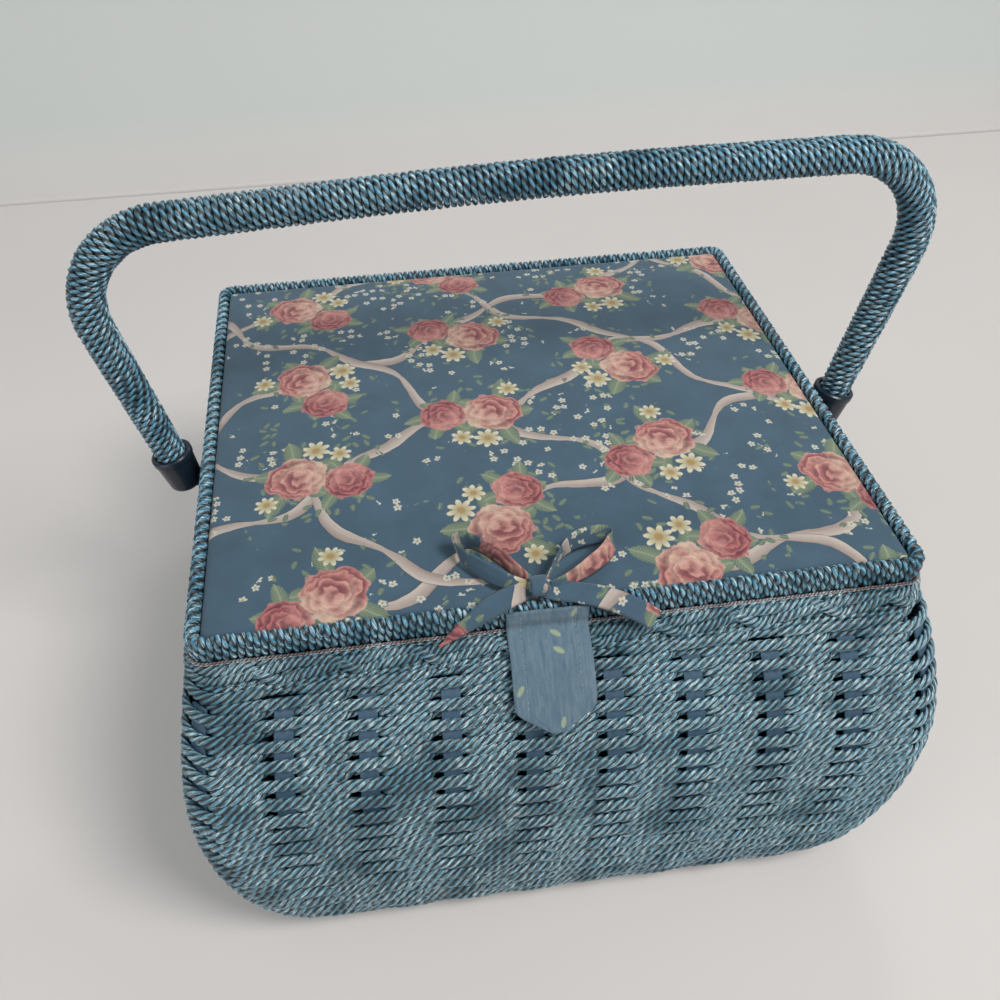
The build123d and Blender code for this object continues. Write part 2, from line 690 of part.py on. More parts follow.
def pivot_bush(side):
    """Flanged bush through the side wall."""
    length = BUSH_SEAT_X + BUSH_FLANGE_T - BUSH_END_X
    here = Pos(side * (BUSH_END_X + length / 2), 0, PIVOT_Z) * Rot(0, 90, 0)
    bush = here * Cylinder(BUSH_R, length)
    flange = Pos(side * (BUSH_SEAT_X + BUSH_FLANGE_T / 2), 0, PIVOT_Z) * Rot(0, 90, 0)
    bush += flange * Cylinder(BUSH_FLANGE_R, BUSH_FLANGE_T)
    return bush - here * Cylinder(PEG_R + PEG_CLEAR, length + 1)


# ---- tab and bow -----------------------------------------------------------------------------------


def tab_line():
    """The tab's inner face from the side: down the rail, then out over the swelling wall."""
    rail_y = -(LID_OUT_D + GAP)
    points = [(rail_y, TAB_TOP_Z), (rail_y, RIM_Z + 2.0)]
    levels = 5
    for i in range(1, levels + 1):
        z = RIM_Z + 2.0 + (TAB_END_Z - TAB_POINT - RIM_Z - 2.0) * i / levels
        points.append((min(rail_y, -(wall(z)[1] + WALL_HALF_T + TAB_OFF_WALL)), z))
    return points


def tab():
    """Cloth strap with a pointed end, fixed to the rail and hanging over the front wall."""
    inner = tab_line()
    outer = [(y - TAB_T, z) for y, z in reversed(inner)]
    side = Plane.YZ.offset(TAB_X - TAB_W / 2) * make_face(Polyline(*inner, *outer, close=True))
    strap = extrude(side, TAB_W)
    tip_z = TAB_END_Z - TAB_POINT
    for s in (-1, 1):
        corner_z = tip_z + 2 * (TAB_POINT + s * TAB_SKEW)
        cut_x = TAB_X + s * TAB_W
        corner = Polyline((TAB_X, tip_z), (cut_x, tip_z), (cut_x, corner_z), close=True)
        strap -= extrude(Plane.XZ * make_face(corner), 2 * HINGE_Y)
    return strap


def snap_plane(off):
    """A plane on the tab's inner face near its end, moved off towards the wall."""
    z = TAB_END_Z + SNAP_RISE
    points = tab_line()
    for (ya, za), (yb, zb) in zip(points, points[1:]):
        if zb <= z <= za:
            y = ya + (yb - ya) * (z - za) / (zb - za)
            ty, tz = yb - ya, zb - za
    length = hypot(ty, tz)
    normal = (0, -tz / length, ty / length)
    if normal[1] < 0:
        normal = (0, -normal[1], -normal[2])
    origin = (TAB_X, y + normal[1] * off, z + normal[2] * off)
    return Plane(origin, x_dir=(1, 0, 0), z_dir=normal)


def snap_cap():
    """Press stud half under the tab."""
    return extrude(snap_plane(GAP) * Circle(SNAP_R), SNAP_T)


def snap_stud():
    """Press stud half on the wall, just behind the cap."""
    return extrude(snap_plane(SNAP_T + 2 * GAP) * Circle(SNAP_R - STUD_EASE), SNAP_T)


def bow_z():
    return LID_Z0 + RAIL_H


def bow_knot():
    knot = Box(KNOT_W, KNOT_D, KNOT_H)
    knot = fillet(knot.edges(), KNOT_ROUND)
    return Pos(BOW_X, BOW_Y, bow_z() + TAIL_T + 2 * GAP + KNOT_H / 2) * knot


def bow_loops():
    """The two loops, each a flattened teardrop beside the knot."""
    loops = []
    for side, reach, back in zip((-1, 1), LOOP_L, LOOP_BACK):
        start = KNOT_W / 2 + GAP
        sections = []
        for share, w, t in ((0.0, 0.45, 0.7), (0.35, 0.85, 1.0), (0.75, 1.0, 1.0), (1.0, 0.5, 0.5)):
            x = BOW_X + side * (start + reach * share)
            y = BOW_Y + back * share
            z = bow_z() + LOOP_RISE + LOOP_LIFT * share
            plane = Plane((x, y, z), x_dir=(0, 1, 0), z_dir=(1, 0, 0))
            sections.append(plane * RectangleRounded(LOOP_W * w, LOOP_T * t, LOOP_T * t * 0.45))
        loops.append(loft(sections if side > 0 else sections[::-1], ruled=True).solid())
    return Compound(loops)


def strip(points, width, thickness):
    """A flat strip through points, with its width along the last direction of each point."""
    sections = []
    for (x, y, z), across, face in points:
        a = Vector(*across).normalized() * (width / 2)
        n = Vector(*face).normalized() * (thickness / 2)
        c = Vector(x, y, z)
        sections.append(Wire.make_polygon([c - a - n, c + a - n, c + a + n, c - a + n], close=True))
    return Solid.make_loft(sections, ruled=True)


def bow_tails():
    """The two ends of the bow, over the rail's edge and down its face."""
    tails = []
    over_y = -(LID_OUT_D + TAIL_OVER)
    top = bow_z() + GAP + TAIL_T / 2
    for side, reach, drop in zip((-1, 1), TAIL_REACH, TAIL_DROP):
        route = [
            ((BOW_X + side * 2.0, BOW_Y - 1.0, top), (0, 1, 0), (0, 0, 1)),
            ((BOW_X + side * 20.0, BOW_Y - 3.4, top + TAIL_LIFT / 2), (side * -0.3, 1, 0.2), (0, -0.3, 1)),
            ((BOW_X + side * 31.0, over_y, top - 5.0 + TAIL_LIFT), (side * 0.6, 0.3, 0.9), (0, -1, 0.6)),
            ((BOW_X + side * reach, over_y - TAIL_HANG, top - drop), (side * 0.55, 0, 0.85), (0, -1, 0)),
        ]
        tails.append(strip(route, TAIL_W, TAIL_T))
    return Compound(tails)


# ---- write each sub-part -----------------------------------------------------------------------------

os.makedirs("parts", exist_ok=True)

PARTS = {
    "woven_wall": woven_wall(),
    "wall_stakes": wall_stakes(),
    "rim_border": rim_border(),
    "rim_frame": rim_frame(),
    "foot_rope": foot_rope(),
    "base_panel": base_panel(),
    "wall_liner": wall_liner(),
    "floor_pad": floor_pad(),
    "tray": tray(),
    "pincushion": pincushion(),
    "pivot_bush_left": pivot_bush(-1),
    "pivot_bush_right": pivot_bush(1),
    "rim_hinge_leaves": hinge_leaves(-1),
    "hinge_pins": hinge_pins(),
    "rim_hinge_screws": hinge_screws(rim_screw_y(), -1),
    "snap_stud": snap_stud(),
    "lid_rail": lid_rail(),
    "lid_board": lid_board(),
    "lid_cushion": lid_cushion(),
    "lid_lining": lid_lining(),
    "lid_hinge_leaves": hinge_leaves(1),
    "lid_hinge_screws": hinge_screws(lid_screw_y(), 1),
    "closing_tab": tab(),
    "snap_cap": snap_cap(),
    "bow_knot": bow_knot(),
    "bow_loops": bow_loops(),
    "bow_tails": bow_tails(),
    "handle_core": handle_core(),
    "handle_wrap": handle_wrap(),
    "socket_left": socket(-1),
    "socket_right": socket(1),
    "pivot_clips": pivot_clips(),
}

for name, shape in PARTS.items():
    export_step(shape, f"parts/{name}.step")
print(len(PARTS), "sub-parts written")
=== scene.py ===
"""Dresses the woven sewing basket: twisted paper cord, printed cloth, stage and camera.

Laid out as an add-on and run as a script. Lengths in the shape functions are millimetres in the
basket's own frame (origin on the floor, +X right, +Y to the hinged rear, +Z up); put_mesh turns
them into metres.
"""
import math

import bpy
import numpy as np
from mathutils import Matrix, Vector


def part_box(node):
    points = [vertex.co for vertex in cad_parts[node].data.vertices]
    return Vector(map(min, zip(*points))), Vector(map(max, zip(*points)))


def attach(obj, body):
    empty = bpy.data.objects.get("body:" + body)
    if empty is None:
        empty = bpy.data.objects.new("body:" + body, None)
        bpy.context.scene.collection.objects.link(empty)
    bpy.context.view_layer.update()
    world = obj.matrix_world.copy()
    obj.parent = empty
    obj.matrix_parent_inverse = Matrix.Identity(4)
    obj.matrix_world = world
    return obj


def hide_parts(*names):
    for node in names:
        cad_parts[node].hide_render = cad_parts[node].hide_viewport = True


bl_info = {
    "name": "Woven Sewing Basket",
    "version": (1, 0, 0),
    "blender": (4, 5, 0),
    "location": "3D View > Sidebar > Basket",
    "description": "Makes the cords, cloth and finishes of a woven sewing basket",
    "category": "Object",
}

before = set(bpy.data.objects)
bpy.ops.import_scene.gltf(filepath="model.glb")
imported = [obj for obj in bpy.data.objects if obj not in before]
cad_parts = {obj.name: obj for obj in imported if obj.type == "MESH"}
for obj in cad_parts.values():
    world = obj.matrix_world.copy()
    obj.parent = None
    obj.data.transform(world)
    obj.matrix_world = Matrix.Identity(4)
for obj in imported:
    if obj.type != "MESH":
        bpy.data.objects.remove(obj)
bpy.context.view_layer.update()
MM = 0.001

# ---- the basket's own places, as in the solid model ---------------------------------------------

RIM_Z = 178.0
TOP_HALF = (154.0, 139.0)
BULGE = (12.0, 34.0)
BULGE_AT = (0.50, 0.42)
BASE_HALF = (122.0, 142.0)
TUCK = (1.95, 3.30)
CORNERS = (14.0, 18.0, 26.0)
FRONT_STAKE_COUNT = 9
SIDE_STAKE_COUNT = 9
WEAVE_Z = (2.6, 168.3)
COURSES = 35
BORDER_Z = (168.3, 177.7)
LID_Z = 178.3
LID_OUT = (156.5, 141.5)
RAIL_T, RAIL_H = 6.5, 13.5
FACE_HALF = (150.0, 135.0)
HINGE_X, HINGE_L, HINGE_Y = 95.0, 30.0, 143.8
PIVOT_Z = 161.0
PIVOT_HALF_X = 171.08
HANDLE_HALF_X = 203.78
HANDLE_RISE = 144.2
HANDLE_ARCH = 2.9
HANDLE_SKEW = 4.4
HANDLE_CORNER_R = 41.5
HANDLE_LEAN = 0.3
HANDLE_R, NECK_R = 8.9, 7.85
SOCKET_FLOOR = 5.0
WALL_HALF_T = 4.934
TAB_X = -9.0
TAB_OFF_WALL = 3.1
TAB_END_Z, TAB_POINT = 159.5, 13.5
KNOT = (-12.0, -135.4, 197.2)


# ---- mesh tools -----------------------------------------------------------------------------


def put_mesh(name, points, faces, uv, material):
    """A mesh object from points in millimetres and arrays of faces; if its signed volume, the sum
    of corner triple products, is negative, every face is turned over. uv is one array for each
    array of faces, with a pair for each corner."""
    points = np.asarray(points, float).reshape(-1, 3) * MM
    faces = [np.asarray(f, np.int64) for f in faces if len(f)]
    volume = 0.0
    for f in faces:
        a = points[f[:, 0]]
        for k in range(1, f.shape[1] - 1):
            volume += np.einsum("ij,ij->", a, np.cross(points[f[:, k]], points[f[:, k + 1]]))
    if volume < 0:
        faces = [f[:, ::-1] for f in faces]
        uv = None if uv is None else [u[:, ::-1] for u in uv]
    mesh = bpy.data.meshes.new(name)
    corners = np.concatenate([f.ravel() for f in faces])
    sizes = np.concatenate([np.full(len(f), f.shape[1]) for f in faces])
    mesh.vertices.add(len(points))
    mesh.vertices.foreach_set("co", points.astype(np.float32).ravel())
    mesh.loops.add(len(corners))
    mesh.loops.foreach_set("vertex_index", corners.astype(np.int32))
    mesh.polygons.add(len(sizes))
    mesh.polygons.foreach_set("loop_start", (np.cumsum(sizes) - sizes).astype(np.int32))
    mesh.update(calc_edges=True)
    mesh.polygons.foreach_set("use_smooth", np.full(len(sizes), True))
    if uv is not None:
        layer = mesh.uv_layers.new(name="Cloth")
        flat = np.concatenate([np.asarray(u, float).reshape(-1, 2) for u in uv])
        layer.data.foreach_set("uv", flat.astype(np.float32).ravel())
    mesh.materials.append(material)
    mesh.validate()
    piece = bpy.data.objects.new(name, mesh)
    bpy.context.scene.collection.objects.link(piece)
    return piece


def grid_faces(rows, columns, wrap_rows=False, wrap_columns=False, first=0):
    """Quads over a grid of points, and the grid steps at each corner of each quad."""
    i = np.arange(rows if wrap_rows else rows - 1)[:, None]
    k = np.arange(columns if wrap_columns else columns - 1)[None, :]
    steps = [(i, k), (i, k + 1), (i + 1, k + 1), (i + 1, k)]
    at = np.stack([first + (a % rows) * columns + b % columns for a, b in steps], -1)
    here = np.stack([np.stack(np.broadcast_arrays(a, b), -1) for a, b in steps], -2)
    return at.reshape(-1, 4), here.reshape(-1, 4, 2)


def unit(v):
    return v / np.maximum(np.linalg.norm(v, axis=-1, keepdims=True), 1e-12)


def run_along(line):
    """Distance along a line at each of its points."""
    return np.concatenate([[0.0], np.cumsum(np.linalg.norm(np.diff(line, axis=0), axis=1))])


def at_height(place, z):
    """Level places with a height, or level directions with none, as places in space."""
    return np.concatenate([place, np.broadcast_to(z, len(place))[:, None]], -1)


def off_line(direction, ahead):
    """A direction made square to the line it stands on."""
    return unit(direction - (direction * ahead).sum(-1, keepdims=True) * ahead)


def even(path, out, step, closed, whole=1):
    """Points an even step apart along a path, with the outward directions there. On a closed path
    the number of steps is a multiple of whole."""
    if closed:
        path = np.vstack([path, path[:1]])
        out = np.vstack([out, out[:1]])
    run = run_along(path)
    count = max(whole, int(round(run[-1] / step / whole)) * whole)
    at = np.linspace(0.0, run[-1], count + (0 if closed else 1), endpoint=not closed)
    points = np.stack([np.interp(at, run, path[:, c]) for c in range(3)], -1)
    outs = np.stack([np.interp(at, run, out[:, c]) for c in range(3)], -1)
    return points, outs, at


def along(points, closed):
    """Direction of travel at each point, from its two neighbours."""
    if closed:
        return unit(np.roll(points, -1, 0) - np.roll(points, 1, 0))
    return unit(np.gradient(points, axis=0))


def twisted(path, out, radius, lay, closed=False, plies=2, around=8, steps=6, groove=0.5,
            start=0.0, flat=1.0):
    """A cord of twisted plies. The section's radius is largest on each ply and falls sharply, as
    the size of a cosine, to groove times it between them. The section turns once in each lay from
    its start, and its corners turn with it, so that the mesh's edges follow the plies. A flat cord
    is thinner, by that much, along out than across it."""
    points, outs, at = even(path, out, lay / steps, closed, steps)
    ahead = along(points, closed)
    normal = off_line(outs, ahead)
    across = np.cross(normal, ahead)
    k = np.arange(around) / around
    r = radius * (groove + (1 - groove) * np.abs(np.cos(math.pi * plies * k)) ** 0.85)
    turn = 2 * math.pi * (k[None, :] + np.arange(len(points))[:, None] / steps + start)
    shape = points[:, None] + r[None, :, None] * (
        flat * np.cos(turn)[..., None] * normal[:, None] + np.sin(turn)[..., None] * across[:, None]
    )
    return shape, at, closed, plies


def put_cords(name, cords, finish_name, body, replaces=(), change=None):
    """One piece from several tubes: each a grid of rings, closed or with flat ends. Its map runs
    along each cord in metres, and round it by one for each ply. change may press its points."""
    points, faces, uvs, caps, cap_uvs = [], [], [], [], []
    first = 0
    for shape, at, closed, plies in cords:
        rings, around = shape.shape[:2]
        quads, here = grid_faces(rings, around, closed, True, first)
        step = at[1] - at[0]
        uvs.append(np.stack([here[..., 0] * step * MM, here[..., 1] * plies / around], -1))
        faces.append(quads)
        if not closed:
            loop = first + np.arange(around)
            caps += [loop[::-1], loop + (rings - 1) * around]
            cap_uvs += [np.zeros((around, 2))] * 2
        points.append(shape.reshape(-1, 3))
        first += rings * around
    points = np.concatenate(points)
    if change is not None:
        points = change(points)
    groups, group_uvs = [np.concatenate(faces)], [np.concatenate(uvs)]
    if caps:
        groups.append(np.array(caps))
        group_uvs.append(np.array(cap_uvs))
    piece = put_mesh(name, points, groups, group_uvs, finish(finish_name))
    settle(piece, body, replaces)


def settle(piece, body, replaces=()):
    """Puts a finished piece on its body and hides the solids that it stands for."""
    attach(piece, body)
    if replaces:
        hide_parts(*replaces)


def ring(half_w, half_d, r, share):
    """Places and outward directions round a rounded rectangle, at shares of its length from the
    middle of its front: four straight runs joined by four quarter turns."""
    a, b = half_w - r, half_d - r
    bend = math.pi * r / 2
    runs = np.array([a, bend, 2 * b, bend, 2 * a, bend, 2 * b, bend, a])
    ends = np.cumsum(runs)
    s = (np.asarray(share) % 1.0) * ends[-1]
    k = np.minimum(np.searchsorted(ends, s, side="right"), 8)
    t = s - (ends - runs)[k]
    starts = np.array([
        (0, -half_d), (a, -half_d), (half_w, -b), (half_w, b), (a, half_d),
        (-a, half_d), (-half_w, b), (-half_w, -b), (-a, -half_d),
    ])
    heading = np.array([0, 0, 1, 1, 2, 2, 3, 3, 4])[k] * math.pi / 2
    bent = k % 2 == 1
    angle = heading + np.where(bent, t / r, 0.0)
    out = np.stack([np.sin(angle), -np.cos(angle)], -1)
    line = starts[k] + t[:, None] * np.stack([np.cos(heading), np.sin(heading)], -1)
    centre = starts[k] + r * np.stack([-np.sin(heading), np.cos(heading)], -1)
    place = np.where(bent[:, None], centre + r * out, line)
    return place, out, ends[-1]


def wall(z):
    """Half width, half depth and corner radius of the middle of the wall at height z: a parabola
    from the rim out to the widest place, then a superellipse in to the foot."""
    t = (RIM_Z - z) / RIM_Z
    half = []
    for top, bulge, at, base, power in zip(TOP_HALF, BULGE, BULGE_AT, BASE_HALF, TUCK):
        if t <= at:
            half.append(top + bulge * (1 - (1 - t / at) ** 2))
        else:
            s = min((t - at) / (1 - at), 1.0)
            half.append(base + (top + bulge - base) * (1 - s**power) ** (1 / power))
    at = BULGE_AT[0]
    low, high = (CORNERS[:2], t / at) if t <= at else (CORNERS[1:], (t - at) / (1 - at))
    return half[0], half[1], low[0] + (low[1] - low[0]) * high


def wall_out(z, out):
    """The wall's outward direction in space: level direction out, tipped by the wall's slope."""
    lower, upper = wall(z - 1.0), wall(z + 1.0)
    rise = 2.0
    slope = sum(out[:, c] ** 2 * (upper[c] - lower[c]) / rise for c in (0, 1))
    return unit(np.concatenate([out, -slope[:, None]], -1))


def stake_runs(half_w, half_d, r):
    """Distance of each stake round the wall from the middle of the front, a corner stake first on
    each side, and the whole length."""
    a, b = half_w - r, half_d - r
    bend = math.pi * r / 2
    cut = r * (1 - 1 / math.sqrt(2))
    runs = []
    middle = 0.0
    sides = [(a, half_w - cut, FRONT_STAKE_COUNT), (b, half_d - cut, SIDE_STAKE_COUNT)]
    for flat, reach, count in sides * 2:
        places = middle - reach + 2 * reach * np.arange(count) / count
        places[0] = middle - flat - bend / 2
        runs.append(places)
        middle += a + bend + b
    return np.concatenate(runs), 4 * (a + b) + 4 * bend


def smooth_noise(seed, at, waves, length):
    """A gentle wander round a closed length: a sum of whole waves with seeded sizes and phases."""
    rng = np.random.default_rng(seed)
    total = np.zeros_like(at)
    for n in waves:
        size, phase = rng.normal(0.0, 1.0), rng.uniform(0, 6.283)
        total += size * np.sin(2 * math.pi * n * at / length + phase)
    return total / math.sqrt(len(waves))


def spline(points, count):
    """A smooth open curve through points: a Catmull-Rom cubic between each pair."""
    p = np.asarray(points, float)
    p = np.vstack([2 * p[0] - p[1], p, 2 * p[-1] - p[-2]])
    s = np.linspace(0, len(p) - 3 - 1e-9, count)
    i = s.astype(int)
    t = (s - i)[:, None]
    a, b, c, d = p[i], p[i + 1], p[i + 2], p[i + 3]
    square, cube = 2 * a - 5 * b + 4 * c - d, 3 * b - a - 3 * c + d
    return 0.5 * (2 * b + (c - a) * t + square * t**2 + cube * t**3)


# ---- finishes -------------------------------------------------------------------------------


class Finish:
    """A material built from nodes. Each method adds a node and gives its output socket."""

    def __init__(self, name):
        self.material = bpy.data.materials.new(name)
        self.material.use_nodes = True
        self.tree = self.material.node_tree
        self.tree.nodes.clear()
        self.memo = {}

    def add(self, kind, **values):
        node = self.tree.nodes.new(kind)
        for key, value in values.items():
            setattr(node, key, value)
        return node

    def feed(self, socket, value):
        if isinstance(value, bpy.types.NodeSocket):
            self.tree.links.new(value, socket)
        elif isinstance(value, (tuple, list)) and len(value) == 3 and socket.type == "RGBA":
            socket.default_value = (*value, 1.0)
        else:
            socket.default_value = value

    def math(self, operation, a, b=0.0, c=0.0, clamp=False):
        node = self.add("ShaderNodeMath", operation=operation, use_clamp=clamp)
        for socket, value in zip(node.inputs, (a, b, c)):
            self.feed(socket, value)
        return node.outputs[0]

    def plus(self, a, b):
        return self.math("ADD", a, b)

    def minus(self, a, b):
        return self.math("SUBTRACT", a, b)

    def times(self, a, b):
        return self.math("MULTIPLY", a, b)

    def over(self, a, b):
        return self.math("DIVIDE", a, b)

    def fma(self, a, rate, shift, clamp=False):
        """a times rate, plus shift."""
        return self.math("MULTIPLY_ADD", a, rate, shift, clamp)

    def size(self, a):
        return self.math("ABSOLUTE", a)

    def cos(self, a):
        return self.math("COSINE", a)

    def sin(self, a):
        return self.math("SINE", a)

    def wave(self, a, rate=1.0, shift=0.0):
        return self.sin(self.fma(a, rate, shift))

    def reach(self, x, y):
        """Distance of a flat place from the middle."""
        return self.math("SQRT", self.fma(x, x, self.times(y, y)))

    def turned(self, x, y, cos, sin):
        """A flat place turned about the middle, by the cosine and sine of the angle."""
        down = self.minus(self.times(y, cos), self.times(x, sin))
        return self.fma(x, cos, self.times(y, sin)), down

    def inside(self, a, edge, soft):
        """1 where a is below edge, falling to 0 over soft past it."""
        return self.fma(a, -1.0 / soft, self.scaled(edge, 1.0 / soft, 0.5), clamp=True)

    def scaled(self, a, rate, shift):
        """a times rate, plus shift, for a plain number or a socket."""
        if isinstance(a, (int, float)):
            return a * rate + shift
        return self.fma(a, rate, shift)

    def mix(self, share, a, b, blend="MIX"):
        node = self.add("ShaderNodeMix", data_type="RGBA", blend_type=blend)
        self.feed(node.inputs[0], share)
        self.feed(node.inputs[6], a)
        self.feed(node.inputs[7], b)
        return node.outputs[2]

    def ramp(self, share, stops):
        node = self.add("ShaderNodeValToRGB")
        points = node.color_ramp.elements
        while len(points) < len(stops):
            points.new(0.5)
        for point, (place, colour) in zip(points, stops):
            point.position = place
            point.color = (*colour, 1.0)
        self.feed(node.inputs[0], share)
        return node.outputs[0]

    def noise(self, vector, scale, detail=2.0, rough=0.5, colour=False):
        node = self.add("ShaderNodeTexNoise")
        self.feed(node.inputs["Vector"], vector)
        node.inputs["Scale"].default_value = scale
        node.inputs["Detail"].default_value = detail
        node.inputs["Roughness"].default_value = rough
        return node.outputs[1 if colour else 0]

    def random(self, x, y, number=0):
        """Three random values for a whole-number pair."""
        node = self.add("ShaderNodeTexWhiteNoise", noise_dimensions="3D")
        self.feed(node.inputs["Vector"], self.vector(x, y, float(number)))
        split = self.add("ShaderNodeSeparateColor")
        self.feed(split.inputs[0], node.outputs["Color"])
        return split.outputs[0], split.outputs[1], split.outputs[2]

    def vector(self, x, y, z=0.0):
        node = self.add("ShaderNodeCombineXYZ")
        for socket, value in zip(node.inputs, (x, y, z)):
            self.feed(socket, value)
        return node.outputs[0]

    def split(self, vector):
        node = self.add("ShaderNodeSeparateXYZ")
        self.feed(node.inputs[0], vector)
        return node.outputs[0], node.outputs[1], node.outputs[2]

    def place(self, kind="Object"):
        if kind not in self.memo:
            self.memo[kind] = self.add("ShaderNodeTexCoord").outputs[kind]
        return self.memo[kind]

    def stretched(self, vector, scale):
        node = self.add("ShaderNodeMapping")
        self.feed(node.inputs["Vector"], vector)
        node.inputs["Scale"].default_value = scale
        return node.outputs[0]

    def bump(self, height, distance, strength):
        node = self.add("ShaderNodeBump")
        node.inputs["Strength"].default_value = strength
        node.inputs["Distance"].default_value = distance
        self.feed(node.inputs["Height"], height)
        return node.outputs[0]

    def surface(self, colour, roughness, normal, **constants):
        """The shader itself; constants are socket names with plain values."""
        shader = self.add("ShaderNodeBsdfPrincipled")
        for key, value in (("Base Color", colour), ("Roughness", roughness), ("Normal", normal)):
            self.feed(shader.inputs[key], value)
        for key, value in constants.items():
            shader.inputs[key.replace("_", " ")].default_value = value
        out = self.add("ShaderNodeOutputMaterial")
        self.tree.links.new(shader.outputs[0], out.inputs["Surface"])
        return self.material


def shade(colour, amount):
    return tuple(min(1.0, c * amount) for c in colour)


# Stops of the cord's colour, as multiples of it, from the painted shade in the grooves to the
# painted highlight on the crests.
CORD_SHADE_TO_HIGHLIGHT = ((0.50, 0.04), (0.70, 0.36), (0.86, 1.28), (1.0, 4.0))
# Pale fibre colour laid on the ply crests as painted highlight.
PAINTED_HIGHLIGHT_FIBRE = (0.62, 0.78, 0.82)


def paper_cord(name, colour, gloss):
    """Lacquered paper cord. The piece's own map runs along the cord and counts plies round it:
    painted shade darkens the grooves between plies and painted highlight lightens the ply crests,
    each ply's skin is drawn into fine fibres, pale fibre streaks on the crests are painted
    highlights, and the dye wanders from place to place."""
    f = Finish(name)
    run, ply, _ = f.split(f.place("UV"))
    ridge = f.size(f.cos(f.times(ply, math.pi)))
    fibres = f.noise(f.vector(f.times(run, 170.0), f.times(ply, 6.5), 0.0), 1.0, 3.0, 0.7)
    rubbed_and_glint = f.noise(f.vector(f.times(run, 300.0), f.times(ply, 8.0), 7.0), 1.0, 2.0, 0.6)
    wander = f.noise(f.place(), 42.0, 2.0)
    broad = f.noise(f.place(), 8.0, 1.0)
    # The ridge term paints shade into the grooves between plies and highlight along the crests;
    # fibres, wander and broad are the dye's own variation.
    tone = f.plus(f.plus(f.times(ridge, 0.46), f.times(fibres, 0.72)),
                  f.plus(f.times(wander, 0.16), f.times(broad, 0.10)))
    base = f.ramp(tone, [(at, shade(colour, amount)) for at, amount in CORD_SHADE_TO_HIGHLIGHT])
    # Painted highlight: pale fibre streaks, laid only on the ply crests.
    wear_and_highlight = f.times(f.times(f.inside(0.0, f.plus(rubbed_and_glint, -0.56), 0.05), ridge),
                   f.inside(0.0, f.plus(wander, -0.42), 0.14))
    base = f.mix(f.times(wear_and_highlight, 0.92), base, PAINTED_HIGHLIGHT_FIBRE)
    rough = f.plus(f.scaled(fibres, 0.30, 0.72 - 0.34 * gloss), f.times(ridge, -0.30))
    normal = f.bump(f.fma(fibres, 0.6, f.times(rubbed_and_glint, 0.4)), 0.00034, 0.8)
    return f.surface(base, rough, normal, Coat_Weight=0.25 * gloss, Coat_Roughness=0.16,
                     Specular_IOR_Level=0.6)


def painted_strip(name, colour):
    """Flat painted strip: faint streaks up its length and a matt skin."""
    f = Finish(name)
    streaks = f.noise(f.stretched(f.place(), (900.0, 900.0, 40.0)), 1.0, 3.0)
    tone = f.ramp(streaks, [(0.3, shade(colour, 0.86)), (0.7, shade(colour, 1.12))])
    return f.surface(tone, f.scaled(streaks, 0.16, 0.44), f.bump(streaks, 0.00015, 0.4))


def plain_wood(name, colour, grain=(30.0, 420.0, 420.0), roughness=0.6):
    """Wood with its grain along X: stretched noise, darker late growth and fine pores."""
    f = Finish(name)
    growth = f.noise(f.stretched(f.place(), tuple(g * 0.16 for g in grain)), 1.0, 4.0, 0.6)
    pores = f.noise(f.stretched(f.place(), tuple(g * 3.0 for g in grain)), 1.0, 2.0)
    rings = f.wave(growth, 42.0)
    tone = f.plus(f.times(rings, 0.12), f.times(pores, 0.6))
    base = f.ramp(tone, [(0.15, shade(colour, 0.62)), (0.35, colour), (0.55, shade(colour, 1.2))])
    return f.surface(base, f.scaled(pores, 0.2, roughness - 0.1), f.bump(pores, 0.0002, 0.4))


def thread_weave(f, x, y, pitch):
    """Height of a plain weave of threads a pitch apart, from two places in millimetres."""
    a = f.wave(x, math.pi / pitch)
    b = f.wave(y, math.pi / pitch)
    return f.size(f.minus(f.times(a, a), f.times(b, b)))


def plain_cloth(name, colour, pitch):
    """Plain woven cotton over a flat face; the slanted map keeps threads on upright faces too."""
    f = Finish(name)
    x, y, z = f.split(f.place())
    x, y = (f.times(f.plus(level, f.times(z, 0.7)), 1 / MM) for level in (x, y))
    weave = thread_weave(f, x, y, pitch)
    blotch = f.noise(f.place(), 60.0, 3.0)
    tone = f.plus(f.times(weave, 0.35), f.times(blotch, 0.8))
    base = f.ramp(tone, [(0.25, shade(colour, 0.72)), (0.75, shade(colour, 1.2))])
    return f.surface(base, 0.88, f.bump(weave, 0.0003, 0.5), Sheen_Weight=0.12, Sheen_Roughness=0.5)


def moulded_plastic(name, colour, roughness=0.34):
    """Moulded plastic: faint flow marks, a fine orange-peel skin and rubbed high places."""
    f = Finish(name)
    peel = f.noise(f.place(), 900.0, 2.0)
    marks = f.noise(f.place(), 55.0, 3.0, 0.65)
    wear = f.add("ShaderNodeNewGeometry").outputs["Pointiness"]
    rubbed_and_glint = f.fma(wear, 9.0, -4.75, clamp=True)
    base = f.ramp(marks, [(0.3, shade(colour, 0.85)), (0.7, shade(colour, 1.15))])
    base = f.mix(f.times(rubbed_and_glint, 0.35), base, shade(colour, 2.4))
    return f.surface(base, f.scaled(marks, 0.18, roughness - 0.09), f.bump(peel, 0.00004, 0.5))


def metal(name, colour, roughness=0.3):
    """Lacquered or bright metal with brushed scratches and duller patches."""
    f = Finish(name)
    scratches = f.noise(f.stretched(f.place(), (60.0, 2400.0, 2400.0)), 1.0, 3.0)
    patches = f.noise(f.place(), 190.0, 3.0)
    base = f.ramp(patches, [(0.3, shade(colour, 0.7)), (0.6, colour)])
    rough = f.plus(f.times(scratches, 0.2), f.scaled(patches, 0.22, roughness - 0.2))
    return f.surface(base, rough, f.bump(scratches, 0.00004, 0.4), Metallic=1.0)


# ---- the printed cotton ---------------------------------------------------------------------


